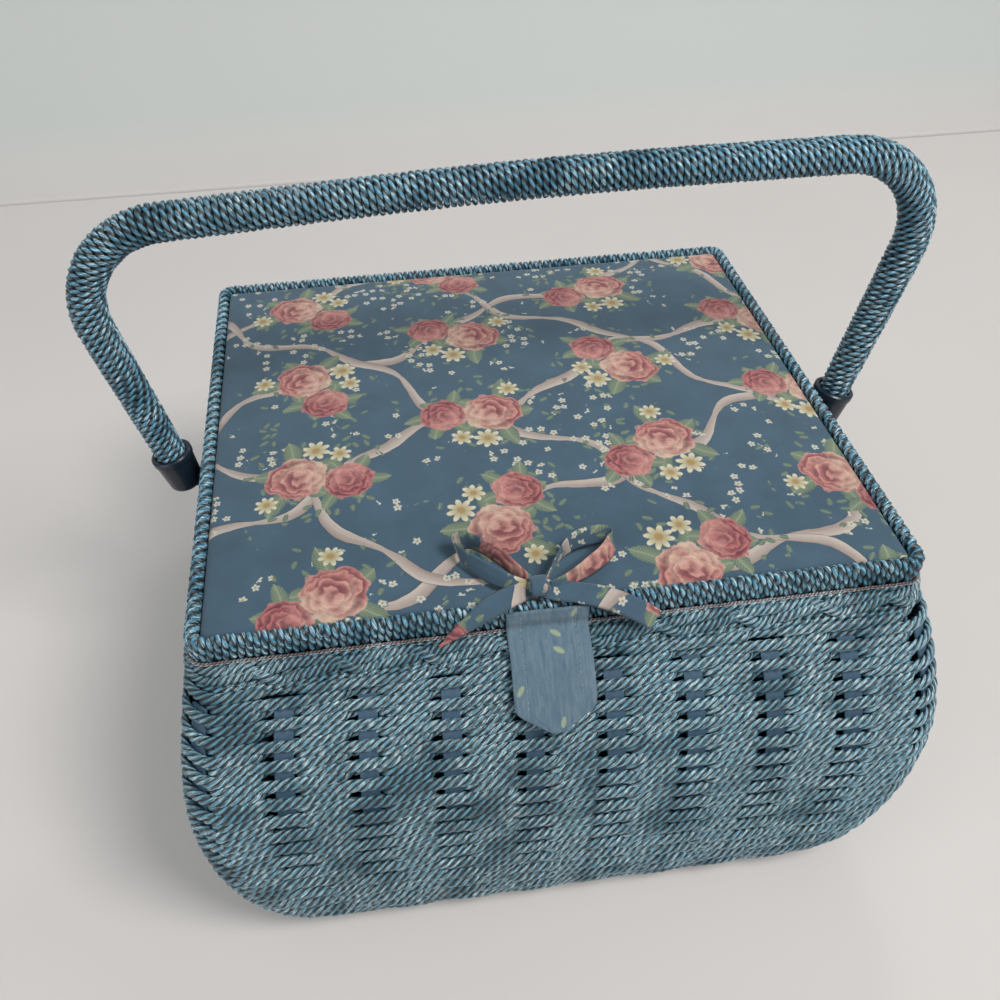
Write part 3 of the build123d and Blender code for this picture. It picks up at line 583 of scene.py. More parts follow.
def petals(f, reach, angle, radius, count, turn, depth):
    """Place of a point within a ring of petals, 0 at the middle and 1 on the petals' rim: the rim
    is a circle of that radius, drawn in by depth between the petals. Also how near a petal's
    middle the point lies."""
    lobe = f.size(f.wave(angle, count / 2.0, turn))
    return f.over(reach, f.fma(lobe, depth * radius, radius * (1.0 - depth))), lobe


# each whorl of a rose: share of its radius, petals, depth between them and lift of its tone
WHORLS = ((1.0, 6, 0.12, 0.0), (0.80, 5, 0.15, 0.20), (0.58, 5, 0.17, 0.30), (0.36, 3, 0.2, 0.10))
PULL = 0.52
OFF_CENTRE = 0.05


def rose(f, ground, u, v, centre, radius, tones, cream, turn):
    """A full rose: whorls of petals laid one in another and a little off centre, each dark at its
    root and pale along its rim. The place is pulled about first, so no whorl is a true ring, and
    the side towards the light is washed with cream."""
    x, y = f.plus(u, -centre[0]), f.plus(v, -centre[1])
    pull = f.noise(f.vector(x, y, turn * 9.0), 2.6 / radius, 2.0, 0.5, colour=True)
    px, py, pz = f.split(pull)
    x = f.plus(x, f.scaled(px, radius * PULL, -radius * PULL / 2))
    y = f.plus(y, f.scaled(py, radius * PULL, -radius * PULL / 2))
    lit = f.over(f.fma(x, math.cos(turn * 2), f.times(y, math.sin(turn * 2))), radius)
    dark, mid, pale = tones
    insides = [whorl[0] for whorl in WHORLS[1:]] + [0.0]
    for i, ((share, count, depth, lift), inside) in enumerate(zip(WHORLS, insides)):
        way, off = turn * 3 + 0.8 * i, OFF_CENTRE * radius * i
        qx, qy = f.plus(x, off * math.cos(way)), f.plus(y, off * math.sin(way))
        angle = f.math("ARCTAN2", qy, qx)
        at, lobe = petals(f, f.reach(qx, qy), angle, radius * share, count, turn + 1.7 * i, depth)
        inner = inside / share
        glow = f.fma(at, 1.0 / (1.0 - inner), -inner / (1.0 - inner), clamp=True)
        glow = f.times(f.math("POWER", glow, 1.3), f.fma(lobe, 0.45, 0.55))
        glow = f.plus(glow, f.fma(pz, 0.5, -0.25))
        tone = f.ramp(f.fma(glow, 0.9, lift * 0.3), [(0.0, dark), (0.38, mid), (0.95, pale)])
        wash = f.times(f.fma(lit, 0.55, f.fma(pz, 1.6, -0.62), clamp=True), f.fma(lobe, 0.5, 0.5))
        tone = f.mix(f.times(wash, 0.85), tone, cream)
        ground = f.mix(f.inside(at, 1.0, 0.06 / share), ground, tone)
    heart = f.inside(f.reach(x, y), radius * 0.12, radius * 0.12)
    return f.mix(f.times(heart, 0.7), ground, dark)


def leaf_ring(f, ground, u, v, centre, root, length, width, count, turn, green):
    """Leaves spread round a place: the angle is folded into equal sectors, and in each a leaf runs
    out from root, its half width a parabola along it, with a pale midrib and slanting veins."""
    x, y = f.plus(u, -centre[0]), f.plus(v, -centre[1])
    reach = f.reach(x, y)
    sector = f.fma(f.math("ARCTAN2", y, x), count / (2 * math.pi), turn)
    which = f.math("FLOOR", sector)
    off = f.times(f.plus(f.minus(sector, which), -0.5), 2 * math.pi / count)
    size = f.fma(f.wave(which, 2.4, turn), 0.24, 0.86)
    a = f.over(f.fma(reach, f.cos(off), -root), f.times(size, length))
    side = f.size(f.plus(f.times(reach, f.sin(off)), f.times(f.wave(a, 3.0), 0.9)))
    half = f.times(f.times(f.times(a, f.minus(1.0, a)), 4.0), width)
    teeth = f.times(f.wave(a, 58.0), 0.22)
    in_length = f.inside(f.size(f.plus(a, -0.5)), 0.5, 0.02)
    mask = f.times(f.inside(side, f.plus(half, teeth), 0.5), in_length)
    veins = f.size(f.wave(f.minus(f.times(a, length), f.times(side, 0.9)), 2.0))
    pale = f.math("MAXIMUM", f.inside(side, 0.35, 0.3), f.inside(veins, 0.22, 0.25))
    body = f.ramp(f.over(side, width), [(0.0, green[0]), (0.75, green[1]), (1.0, green[2])])
    return f.mix(mask, ground, f.mix(f.times(pale, 0.55), body, green[3]))


def daisy(f, ground, u, v, centre, radius, count, turn, tones):
    """A small open flower: a ring of pale petals shaded to the root, and a stippled eye."""
    x, y = f.plus(u, -centre[0]), f.plus(v, -centre[1])
    reach = f.reach(x, y)
    at, lobe = petals(f, reach, f.math("ARCTAN2", y, x), radius, count, turn, 0.46)
    places = (0.15, 0.6, 0.9)
    tone = f.ramp(f.times(at, f.fma(lobe, 0.6, 0.4)), list(zip(places, tones)))
    ground = f.mix(f.inside(at, 1.0, 0.10), ground, tone)
    return f.mix(f.inside(reach, radius * 0.27, 0.5), ground, tones[3])


def jittered(f, x, y, cell, play, number):
    """Place within the nearest cell of a lattice whose middle is moved by chance, and the cell's
    own three chances."""
    cells = [f.math("ROUND", f.over(a, size)) for a, size in zip((x, y), cell)]
    chances = f.random(*cells, number)
    u, v = (
        f.minus(f.minus(a, f.times(k, size)), f.times(f.plus(chance, -0.5), room))
        for a, k, size, chance, room in zip((x, y), cells, cell, chances, play)
    )
    return u, v, chances


def small_leaf(f, under, u, v, spin, keep, slim, rib, tones):
    """An oval leaf turned by spin, its squared half width one over slim, with a paler midrib given
    as half width, softness and strength."""
    m, n = f.turned(u, v, f.cos(spin), f.sin(spin))
    oval = f.fma(f.times(m, m), 0.16, f.times(f.times(n, n), slim))
    half, soft, strength = rib
    body = f.mix(f.times(f.inside(f.size(n), half, soft), strength), *tones)
    return f.mix(f.times(f.inside(oval, 1.0, 0.3), keep), under, body)


def small_bloom(f, under, u, v, spin, keep, petal, eye):
    """A blossom with five petals."""
    lobe = f.size(f.sin(f.fma(f.math("ARCTAN2", v, u), 2.5, spin)))
    reach = f.reach(u, v)
    mask = f.inside(f.over(reach, f.fma(lobe, 1.05, 1.05)), 1.0, 0.2)
    return f.mix(f.times(mask, keep), under, f.mix(f.inside(reach, 0.55, 0.3), petal, eye))


def scatter(f, ground, x, y, cell, where, draw, *details):
    """A small motif in each cell of a jittered lattice, kept only where the sprays grow."""
    u, v, chances = jittered(f, x, y, (cell, cell), (cell / 2, cell / 2), int(cell * 10))
    keep = f.math("LESS_THAN", chances[2], where)
    return draw(f, ground, u, v, f.times(chances[2], 60.0), keep, *details)


SWAY_RATE = 0.047


def ribbon(f, ground, x, y, slant, spacing, shift, width, tones, shadow):
    """Ribbons a spacing apart, slanting by so many degrees, that wander from side to side and
    narrow where they twist over; each is pale with a shaded fold and carries a thin shadow line
    along its edge."""
    run, across = f.turned(x, y, math.cos(math.radians(slant)), math.sin(math.radians(slant)))
    lane = f.math("ROUND", f.over(f.fma(f.wave(run, SWAY_RATE, shift), 7.0, across), spacing))
    bend = f.plus(f.times(f.wave(f.fma(lane, 29.0, run), SWAY_RATE, shift), 7.0),
                  f.times(f.wave(f.fma(lane, 13.0, run), 0.11, shift * 2), 3.4))
    off = f.minus(f.plus(across, bend), f.times(lane, spacing))
    twist = f.wave(f.fma(lane, 17.0, run), 0.062, shift + 1.0)
    side = f.over(off, f.fma(f.size(twist), width * 0.30, width * 0.22))
    fold = f.fma(f.times(side, twist), 0.42, 0.5)
    streak = f.noise(f.vector(f.times(run, 0.05), f.times(off, 0.9), lane), 1.0, 3.0)
    tone = f.ramp(f.fma(streak, 0.35, f.times(fold, 0.72)), list(zip((0.2, 0.5, 0.8), tones)))
    gap = f.size(side)
    ground = f.mix(f.times(f.inside(gap, 1.14, 0.2), 0.5), ground, shadow)
    return f.mix(f.inside(gap, 0.98, 0.10), ground, tone)


# the print's repeat in millimetres, and how far a nosegay may stray in its cell
REPEAT = (84.0, 74.0)
STRAY = (9.0, 7.0)
# place, radius, petals and turn of each daisy in a nosegay
DAISIES = (((3.0, 20.0), 7.0, 8, 0.3), ((14.0, 14.5), 5.6, 7, 1.2), ((-23.0, -12.0), 5.6, 8, 0.8))


def print_colour(f, x, y, c):
    """The colour of the print at a place in millimetres: ground, wandering ribbons, sprays of tiny
    blossom and leaf, then a nosegay in each cell of a half-drop repeat, turned by chance."""
    mottle = f.noise(f.vector(x, y, 0.0), 0.05, 3.0)
    base = f.ramp(mottle, [(0.3, shade(c["ground"], 0.88)), (0.7, shade(c["ground"], 1.14))])
    base = ribbon(f, base, x, y, 27.0, 74.0, 0.4, 6.6, c["ribbon"], c["shadow"])
    base = ribbon(f, base, x, y, -41.0, 96.0, 2.1, 5.8, c["ribbon"], c["shadow"])

    column = f.math("ROUND", f.over(x, REPEAT[0]))
    drop = f.times(f.math("FRACT", f.times(f.size(column), 0.5)), REPEAT[1])
    lx, ly, chances = jittered(f, x, f.plus(y, drop), REPEAT, STRAY, 3)
    spin = f.times(chances[2], 2 * math.pi)
    u, v = f.turned(lx, ly, f.cos(spin), f.sin(spin))
    from_middle = f.reach(lx, ly)

    patch = f.noise(f.vector(x, y, 4.0), 0.045, 1.0)
    spray = f.times(f.inside(0.0, f.plus(patch, -0.53), 0.02), f.inside(from_middle, 40.0, 12.0))
    near = f.times(f.inside(from_middle, 31.0, 8.0), 0.36)
    base = scatter(f, base, x, y, 5.0, f.math("MAXIMUM", f.times(spray, 0.34), near),
                   small_leaf, 0.62, (0.14, 0.16, 0.6), (c["leaf"][1], c["leaf"][3]))
    away = f.minus(1.0, f.inside(from_middle, 20.0, 4.0))
    second = f.noise(f.vector(x, y, 9.0), 0.05, 1.0)
    blooms = f.times(f.inside(0.0, f.plus(second, -0.56), 0.02), away)
    base = scatter(f, base, f.plus(x, 2.0), f.plus(y, 1.0), 5.2, f.times(blooms, 0.40),
                   small_bloom, c["bloom"], c["daisy"][3])

    base = leaf_ring(f, base, u, v, (-8.0, 3.0), 9.0, 18.0, 4.6, 5, 0.2, c["leaf"])
    base = leaf_ring(f, base, u, v, (15.0, -5.0), 6.0, 15.0, 3.8, 6, 0.6, c["leaf"])
    for details in DAISIES:
        base = daisy(f, base, u, v, *details, c["daisy"])
    base = rose(f, base, u, v, (15.5, -6.0), 12.0, c["rose_deep"], c["rose"][2], 0.9)
    return rose(f, base, u, v, (-8.0, 2.0), 15.0, c["rose"], c["cream"], 0.2)


def cotton(f, drawn, x, y, c):
    """The cloth itself over a print's colour: thread weave, slubs and a soft bloom."""
    weave = thread_weave(f, x, y, 0.42)
    slub = f.noise(f.vector(f.times(x, 0.35), f.times(y, 3.0), 0.0), 1.0, 2.0)
    tint = f.ramp(f.fma(weave, 0.25, f.times(slub, 0.7)), [(0.2, (0.86,) * 3), (0.75, (1.08,) * 3)])
    drawn = f.mix(1.0, drawn, tint, "MULTIPLY")
    drawn = f.mix(0.08, drawn, shade(c["ground"], 2.2))
    normal = f.bump(f.fma(weave, 0.6, f.times(slub, 0.4)), 0.00018, 0.5)
    return f.surface(drawn, 0.82, normal, Sheen_Weight=0.18, Sheen_Roughness=0.45,
                     Specular_IOR_Level=0.3)


def on_cloth(name):
    """A finish and a place on the piece's own flat map, in millimetres."""
    f = Finish(name)
    x, y, _ = f.split(f.place("UV"))
    return f, f.times(x, 1 / MM), f.times(y, 1 / MM)


def printed_cotton(name, c):
    """Printed cotton on a piece's own flat map."""
    f, x, y = on_cloth(name)
    sx, sy, _ = f.split(f.noise(f.vector(x, y, 0.0), 0.12, 2.0, 0.5, colour=True))
    sway = 1.6
    return cotton(f, print_colour(f, f.fma(sx, sway, x), f.fma(sy, sway, y), c), x, y, c)


def tab_cotton(name, c):
    """The print's plain ground with a few loose leaves, paler where the folded tab is rubbed."""
    f, x, y = on_cloth(name)
    u, v, (r, g, b) = jittered(f, x, y, (8.0, 8.0), (3.4, 3.4), 17)
    wear_and_highlight = f.noise(f.vector(f.times(x, 1.4), f.times(y, 0.22), 3.0), 0.5, 4.0, 0.62)
    rubbed_and_glint, bare = (0.150, 0.215, 0.262), (0.20, 0.27, 0.315)
    base = f.ramp(wear_and_highlight, [(0.28, shade(c["ground"], 1.45)), (0.62, rubbed_and_glint), (0.8, bare)])
    keep = f.math("LESS_THAN", f.math("FRACT", f.times(f.plus(r, g), 7.31)), 0.17)
    drawn = small_leaf(f, base, u, v, f.times(b, 40.0), keep, 0.75, (0.16, 0.2, 0.5),
                       ((0.30, 0.36, 0.24), (0.46, 0.50, 0.36)))
    return cotton(f, drawn, x, y, c)


# ---- sizes and colours a user would change --------------------------------------------------


def length(name, description, default, low, high):
    """A length given in millimetres."""
    return bpy.props.FloatProperty(
        name=name, description=description, default=default * MM, min=low * MM, max=high * MM,
        subtype="DISTANCE", unit="LENGTH", precision=5,
    )


def tone(name, description, default):
    return bpy.props.FloatVectorProperty(
        name=name, description=description, default=default, size=3, min=0.0, max=1.0,
        subtype="COLOR",
    )


class BasketCords(bpy.types.PropertyGroup):
    """Sizes of the twisted paper cord."""

    weft_radius: length("Weft radius", "Half the height of one weft cord", 3.0, 1.5, 4.0)
    weft_lay: length("Lay", "Length in which the plies turn once", 16.4, 8.0, 30.0)
    weft_swing: length("Weft swing", "How far a course stands off the wall's middle", 2.3, 1.5, 4.0)
    wrap_radius: length("Binding radius", "Half the thickness of the binding cord", 1.55, 0.8, 2.0)
    wrap_pitch: length("Binding pitch", "Distance between turns of the binding", 3.12, 2.4, 5.0)
    rope_radius: length("Foot rope radius", "Half the thickness of the foot rope", 2.7, 1.5, 4.0)
    trim_radius: length("Trim radius", "Half the thickness of the lid's trim", 0.62, 0.3, 1.2)


class BasketCloth(bpy.types.PropertyGroup):
    """Sizes of the padded cover, the tab and the bow."""

    crown: length("Crown", "Height of the cover's middle over its edge, unfilled", 3.6, 0.0, 8.0)
    swell: length("Most swell", "Furthest a point of the cover may move as it fills", 1.8, 0.0, 6.0)
    pressure: bpy.props.FloatProperty(
        name="Pressure", description="Pressure that fills the padding", default=4.0,
        min=0.0, max=20.0,
    )
    tab_half_width: length("Tab half width", "Half the width of the closing tab", 17.5, 8.0, 30.0)
    bow_width: length("Bow width", "Width of the strip that the bow is tied from", 9.0, 4.0, 16.0)
    cloth_thickness: length("Strip thickness", "Thickness of the folded cloth strip", 1.0, 0.5, 2.0)


class BasketColours(bpy.types.PropertyGroup):
    """Colours of the cords, the cloth and the fittings."""

    cord: tone("Wall cord", "Dyed paper cord of the wall", (0.030, 0.083, 0.112))
    bound_cord: tone("Binding cord", "Cord round the handle and the rail", (0.023, 0.086, 0.128))
    stake: tone("Stakes", "Painted flat stakes", (0.066, 0.122, 0.185))
    ground: tone("Cloth ground", "Ground of the printed cotton", (0.052, 0.096, 0.138))
    socket: tone("Sockets", "Moulded handle sockets", (0.007, 0.014, 0.026))
    # The backing is near-black, so that the gaps in the weave show painted shade.
    backing_shade: tone("Backing", "Dark cloth over the card behind the weave", (0.010, 0.016, 0.026))
    lining: tone("Lining", "Plain cotton inside the basket", (0.16, 0.23, 0.31))
    tray: tone("Tray", "Moulded tray", (0.55, 0.60, 0.64))


FINISHES = {}


def print_colours(ground):
    """Colours of the print, each motif's from its root or shaded side outwards."""
    return {
        "ground": ground,
        "shadow": shade(ground, 0.45),
        "ribbon": ((0.30, 0.22, 0.19), (0.43, 0.35, 0.30), (0.57, 0.48, 0.41)),
        "leaf": (
            (0.19, 0.23, 0.13), (0.125, 0.175, 0.115), (0.065, 0.11, 0.085), (0.36, 0.40, 0.28),
        ),
        "bloom": (0.56, 0.56, 0.48),
        "daisy": ((0.38, 0.30, 0.15), (0.56, 0.49, 0.31), (0.70, 0.66, 0.50), (0.40, 0.25, 0.08)),
        "cream": (0.74, 0.58, 0.42),
        "rose": ((0.20, 0.050, 0.050), (0.44, 0.150, 0.130), (0.68, 0.36, 0.29)),
        "rose_deep": ((0.15, 0.030, 0.035), (0.35, 0.085, 0.085), (0.56, 0.22, 0.19)),
    }


def finish(name):
    """A finish by name, made once from the user's colours."""
    if name not in FINISHES:
        c = bpy.context.scene.basket_colours
        cloth = print_colours(tuple(c.ground))
        kind, *details = {
            "paper_cord": (paper_cord, c.cord, 0.6),
            "bound_cord": (paper_cord, c.bound_cord, 0.75),
            "trim_pale": (paper_cord, (0.34, 0.31, 0.30), 0.5),
            "trim_brown": (paper_cord, (0.085, 0.060, 0.066), 0.4),
            "stake_strip": (painted_strip, c.stake),
            "binding_core": (painted_strip, shade(c.bound_cord, 0.5)),
            "hoop_wood": (plain_wood, (0.42, 0.29, 0.16)),
            "base_wood": (plain_wood, (0.32, 0.22, 0.13)),
            "board": (plain_wood, (0.26, 0.17, 0.10), (200.0, 200.0, 200.0)),
            "core_cane": (plain_wood, (0.42, 0.29, 0.15), (40.0, 300.0, 300.0)),
            # The liner's near-black colour is painted shade seen through the weave's gaps.
            "card_cloth": (plain_cloth, c.backing_shade, 0.8),
            "lining_cloth": (plain_cloth, shade(c.lining, 1.1), 0.6),
            "tray_plastic": (moulded_plastic, c.tray, 0.42),
            "socket_plastic": (moulded_plastic, c.socket, 0.30),
            "hinge_metal": (metal, (0.62, 0.44, 0.19), 0.3),
            "clip_steel": (metal, (0.50, 0.50, 0.51), 0.25),
            "print_cloth": (printed_cotton, cloth),
            "tab_cloth": (tab_cotton, cloth),
            "thread": (plain_cloth, (0.30, 0.37, 0.44), 0.3),
        }[name]
        FINISHES[name] = kind(name, *details)
    return FINISHES[name]


# ---- pieces ---------------------------------------------------------------------------------


def ease(x, low, high):
    """0 below low, 1 above high and a smooth cubic step between."""
    t = np.clip((x - low) / (high - low), 0, 1)
    return t * t * (3 - 2 * t)


def stakes_passed(half_w, half_d, r, share):
    """How many stakes lie between the first corner stake and each place round the wall, with the
    part of the gap to the next as a fraction."""
    runs, whole = stake_runs(half_w, half_d, r)
    count = len(runs)
    number = np.arange(count)
    return np.interp(share * whole, np.concatenate([runs - whole, runs, runs + whole]),
                     np.concatenate([number - count, number, number + count]))


# beats, counted from the stake a course passes behind, between which it rises a little, dives
# and comes back
RISE, RISE_ENDS = (-0.62, -0.24), (-0.10, 0.0)
DIVE, RETURN = (-0.33, -0.21), (0.05, 0.27)
# shares of the swing: between stakes, the rest over one, and the drop behind one
STANDS_OFF, OVER_MORE, DROP = 0.70, 0.30, 1.66
# height of the rise, and how far a course wanders out and up
RISE_BY, WANDER_OUT, WANDER_UP = 0.55, 0.16, 0.22


def course_line(z, phase, swing, seed):
    """Line of one weft cord: round the wall at height z. By the count of stakes passed it stands
    off the wall over one stake, dives steeply and a little upwards before the next, passes behind
    it and comes out again more slowly."""
    half_w, half_d, r = wall(z)
    share = np.arange(2600) / 2600
    place, out, whole = ring(half_w, half_d, r, share)
    at = share * whole
    beat = (stakes_passed(half_w, half_d, r, share) + phase) % 2 - 1
    dip = ease(beat, *DIVE) * (1 - ease(beat, *RETURN))
    over = ease(np.abs(beat), 0.60, 0.86)
    outward = wall_out(z, out)
    off = swing * (STANDS_OFF + OVER_MORE * over - (DROP + OVER_MORE * over) * dip)
    off += WANDER_OUT * smooth_noise(seed, at, (5, 9, 14, 23), whole)
    lift = WANDER_UP * smooth_noise(seed + 500, at, (4, 7, 11, 19, 31), whole)
    path = at_height(place, z) + outward * off[:, None]
    path[:, 2] += lift + RISE_BY * ease(beat, *RISE) * (1 - ease(beat, *RISE_ENDS))
    return path, outward


# how much wider courses are spaced low on the wall than at the rim
LOWER_MORE = 0.19


def course_levels():
    """Edges of the courses: their spacing along the curve of the front wall is least at the rim
    and grows by a fifth to the lower wall."""
    z = np.linspace(WEAVE_Z[1], WEAVE_Z[0], 401)
    depth = np.array([wall(height)[1] for height in z])
    run = np.concatenate([[0.0], np.cumsum(np.hypot(np.diff(z), np.diff(depth)))])
    spacing = 1 + LOWER_MORE * ease(run, 25.0, 75.0)
    count = np.concatenate([[0.0], np.cumsum(np.diff(run) / spacing[1:])])
    return np.interp(np.linspace(count[-1], 0, COURSES + 1), count, z)


# make of each kind of cord: plies, points round it, rings in a lay, the share of its radius left
# between plies, and flatness
WEFT_CORD = dict(closed=True, plies=4, around=16, steps=12, groove=0.60, flat=0.68)
STRAND = dict(radius=2.45, lay=12.0, closed=True, plies=4, around=16, steps=10, groove=0.66,
              flat=0.8)
FILLER = dict(radius=1.7, lay=8.4, closed=True, around=8, steps=5)
ROPE = dict(lay=15.0, closed=True, around=16, steps=10, groove=0.4)
RAIL_CORD = dict(lay=9.0, around=8, steps=7, groove=0.62)
HANDLE_CORD = dict(lay=9.0, around=8, steps=8, groove=0.62)
TRIM_CORD = dict(around=6, steps=5, groove=0.6)

COURSES_IN_A_PIECE = 4
# a cord has its full size in a course this high; SNUG is added to both heights, so that the size
# changes less than they do
FULL_COURSE, SNUG = 4.6, 2.1


def make_weft(cords):
    """All courses, each a flattened cord of four plies, in groups of courses to a piece. The
    lowest are fuller, so that they close up."""
    levels = course_levels()
    for first in range(0, COURSES, COURSES_IN_A_PIECE):
        last = min(first + COURSES_IN_A_PIECE, COURSES)
        tubes = []
        for i in range(first, last):
            z = (levels[i] + levels[i + 1]) / 2
            path, out = course_line(z, COURSES - 1 - i, cords.weft_swing / MM, 31 * i)
            fullness = (levels[i + 1] - levels[i] + SNUG) / (FULL_COURSE + SNUG)
            half = cords.weft_radius / MM * fullness * (1.22 - 0.20 * ease(z, 25.0, 85.0))
            start = (i * 0.37) % 1.0
            tubes.append(twisted(path, out, half, cords.weft_lay / MM, **WEFT_CORD, start=start))
        stands_for = ["woven_wall"] if last < COURSES else ["woven_wall", "rim_border"]
        name = f"weft_{first // COURSES_IN_A_PIECE + 1}"
        put_cords(name, tubes, "paper_cord", "basket", stands_for)


UNDER_LEAF_Z, UNDER_KNUCKLE_Z, OVER_LEAF_Z = 176.8, 175.9, 179.4


def clear_of_hinges(points, low_side):
    """Presses cord flat where the hinge leaves and knuckles lie: below them on the rim, above them
    on the lid."""
    in_line = np.abs(np.abs(points[:, 0]) - HINGE_X) < HINGE_L / 2 + 0.6
    near = in_line & (points[:, 1] > HINGE_Y - 15.6)
    barrel = near & (points[:, 1] > HINGE_Y - 2.3)
    if low_side:
        points[near, 2] = np.minimum(points[near, 2], UNDER_LEAF_Z)
        points[barrel, 2] = np.minimum(points[barrel, 2], UNDER_KNUCKLE_Z)
    else:
        points[near, 2] = np.maximum(points[near, 2], OVER_LEAF_Z)
        points[barrel, 1] = np.minimum(points[barrel, 1], HINGE_Y - 2.25)
    return points


# height, as a share of the border's, and distance out of each filling cord
FILLING = ((-0.16, 0.1), (0.10, -0.5), (0.42, -0.9), (0.74, -0.6), (1.02, 0.5), (1.10, -2.6),
           (0.3, -3.6))


# shares of a strand's beat at which it reaches the top and is under again
STRAND_TOP, STRAND_UNDER = 0.76, 0.97


def make_border():
    """Rolled border: two strands of four-ply cord that take turns. Over a pair of stakes each comes
    out at the bottom, climbs steeply and then slowly to the top in front, and drops steeply over
    the other before it goes under. Plain cords fill the middle and the upper edge behind them."""
    inset = 1.5
    low, high = BORDER_Z[0] + inset, BORDER_Z[1] - inset
    count = 5200
    share = np.arange(count) / count
    rings = []
    for z in (low, high):
        place, out, whole = ring(*wall(z), share)
        rings.append(at_height(place, z))
    at = share * whole
    passed = stakes_passed(*wall(low), share)
    outward = wall_out((low + high) / 2, out)

    def lay_in(level, off):
        return rings[0] + (rings[1] - rings[0]) * level[:, None] + outward * off[:, None]

    tubes = []
    for strand in range(2):
        sway = 0.035 * smooth_noise(70 + strand, at, (3, 7, 13, 17, 29), whole)
        u = (passed / 2 + strand / 2 + sway) % 1.0
        climb = 1 - (1 - np.minimum(u / STRAND_TOP, 1)) ** 1.9
        fall = ease(u, STRAND_TOP, STRAND_UNDER)
        level = 0.10 + 0.70 * (climb - fall)
        level += 0.05 * smooth_noise(90 + strand, at, (5, 11, 19, 37), whole)
        depth = 0.6 + 1.5 * (ease(u, 0.02, 0.14) - ease(u, 0.90, 0.99))
        depth += 0.5 * np.exp(-((u - 0.86) / 0.07) ** 2)
        off = depth + 0.2 * smooth_noise(50 + strand, at, (9, 17, 31), whole)
        tubes.append(twisted(lay_in(level, off), outward, **STRAND, start=0.3 * strand))
    fill = []
    for level, off in FILLING:
        sway = smooth_noise(int(200 + 40 * level), at, (7, 13, 23, 37), whole)
        path = lay_in(level + 0.04 * sway, off + 0.2 * sway)
        fill.append(twisted(path[::2], outward[::2], **FILLER, start=level))
    for name, cords in (("border_plait", tubes), ("border_filling", fill)):
        put_cords(name, cords, "paper_cord", "basket", ["rim_border"],
                  change=lambda points: clear_of_hinges(points, True))


ROPE_HALF, ROPE_CORNER_R = (BASE_HALF[0] + 2.0, BASE_HALF[1] + 6.0), 36.0


def make_foot_rope(cords):
    """Two-ply rope round the edge of the base; the basket stands on it."""
    radius = cords.rope_radius / MM
    share = np.arange(1600) / 1600
    place, out, whole = ring(*ROPE_HALF, ROPE_CORNER_R, share)
    sway = 0.45 * smooth_noise(11, share * whole, (5, 8, 13, 21), whole)
    path = at_height(place + out * sway[:, None], radius + 0.05)
    tube = twisted(path, at_height(out, 0.0), radius, **ROPE)
    put_cords("foot_rope_twist", [tube], "paper_cord", "basket", ["foot_rope"])


def rail_section(share, inset, r):
    """Place and outward direction round the rail's rounded section, inset, first across and then
    up."""
    return ring(RAIL_T / 2 - inset, RAIL_H / 2 - inset, r, share)[:2]


LID_CORNER_R = 9.0
POINTS_IN_A_TURN = 26


def make_rail_binding(cords):
    """Cord bound round the lid's rail: the way round the rail and the way round its section both
    grow evenly, a whole number of turns to the whole."""
    radius = cords.wrap_radius / MM
    _, _, whole = ring(*LID_OUT, LID_CORNER_R, np.zeros(1))
    turns = round(whole / (cords.wrap_pitch / MM))
    halves = 2
    for half in range(halves):
        count = int(turns * POINTS_IN_A_TURN / halves)
        t = (half + np.arange(count + 1) / count) / halves
        rim, out, _ = ring(*LID_OUT, LID_CORNER_R, t)
        jitter = 0.10 * np.sin(2 * math.pi * t * 97) + 0.08 * np.sin(2 * math.pi * t * 211 + 1.0)
        spot, facing = rail_section(t * turns, radius, 1.65)
        ahead = at_height(np.stack([-out[:, 1], out[:, 0]], -1), 0.0)
        out, up = at_height(out, 0.0), np.array([0.0, 0.0, 1.0])
        path = at_height(rim, LID_Z + RAIL_H / 2)
        path = path + out * (spot[:, :1] - RAIL_T / 2) + up * spot[:, 1:] + ahead * jitter[:, None]
        facing = out * facing[:, :1] + up * facing[:, 1:]
        tube = twisted(path, facing, radius, **RAIL_CORD)
        put_cords(f"rail_binding_{half + 1}", [tube], "bound_cord", "lid", ["lid_rail"],
                  change=lambda points: clear_of_hinges(points, False))
    count, around = 360, 12
    rim, out, _ = ring(*LID_OUT, LID_CORNER_R, np.arange(count) / count)
    spot, _ = rail_section(np.arange(around) / around, 1.7, 1.2)
    points = np.zeros((count, around, 3))
    points[..., :2] = rim[:, None] + out[:, None] * (spot[None, :, :1] - RAIL_T / 2)
    points[..., 2] = LID_Z + RAIL_H / 2 + spot[None, :, 1]
    points = clear_of_hinges(points.reshape(-1, 3), False)
    faces, _ = grid_faces(count, around, True, True)
    core = put_mesh("rail_core", points, [faces], None, finish("binding_core"))
    settle(core, "lid", ["lid_rail"])


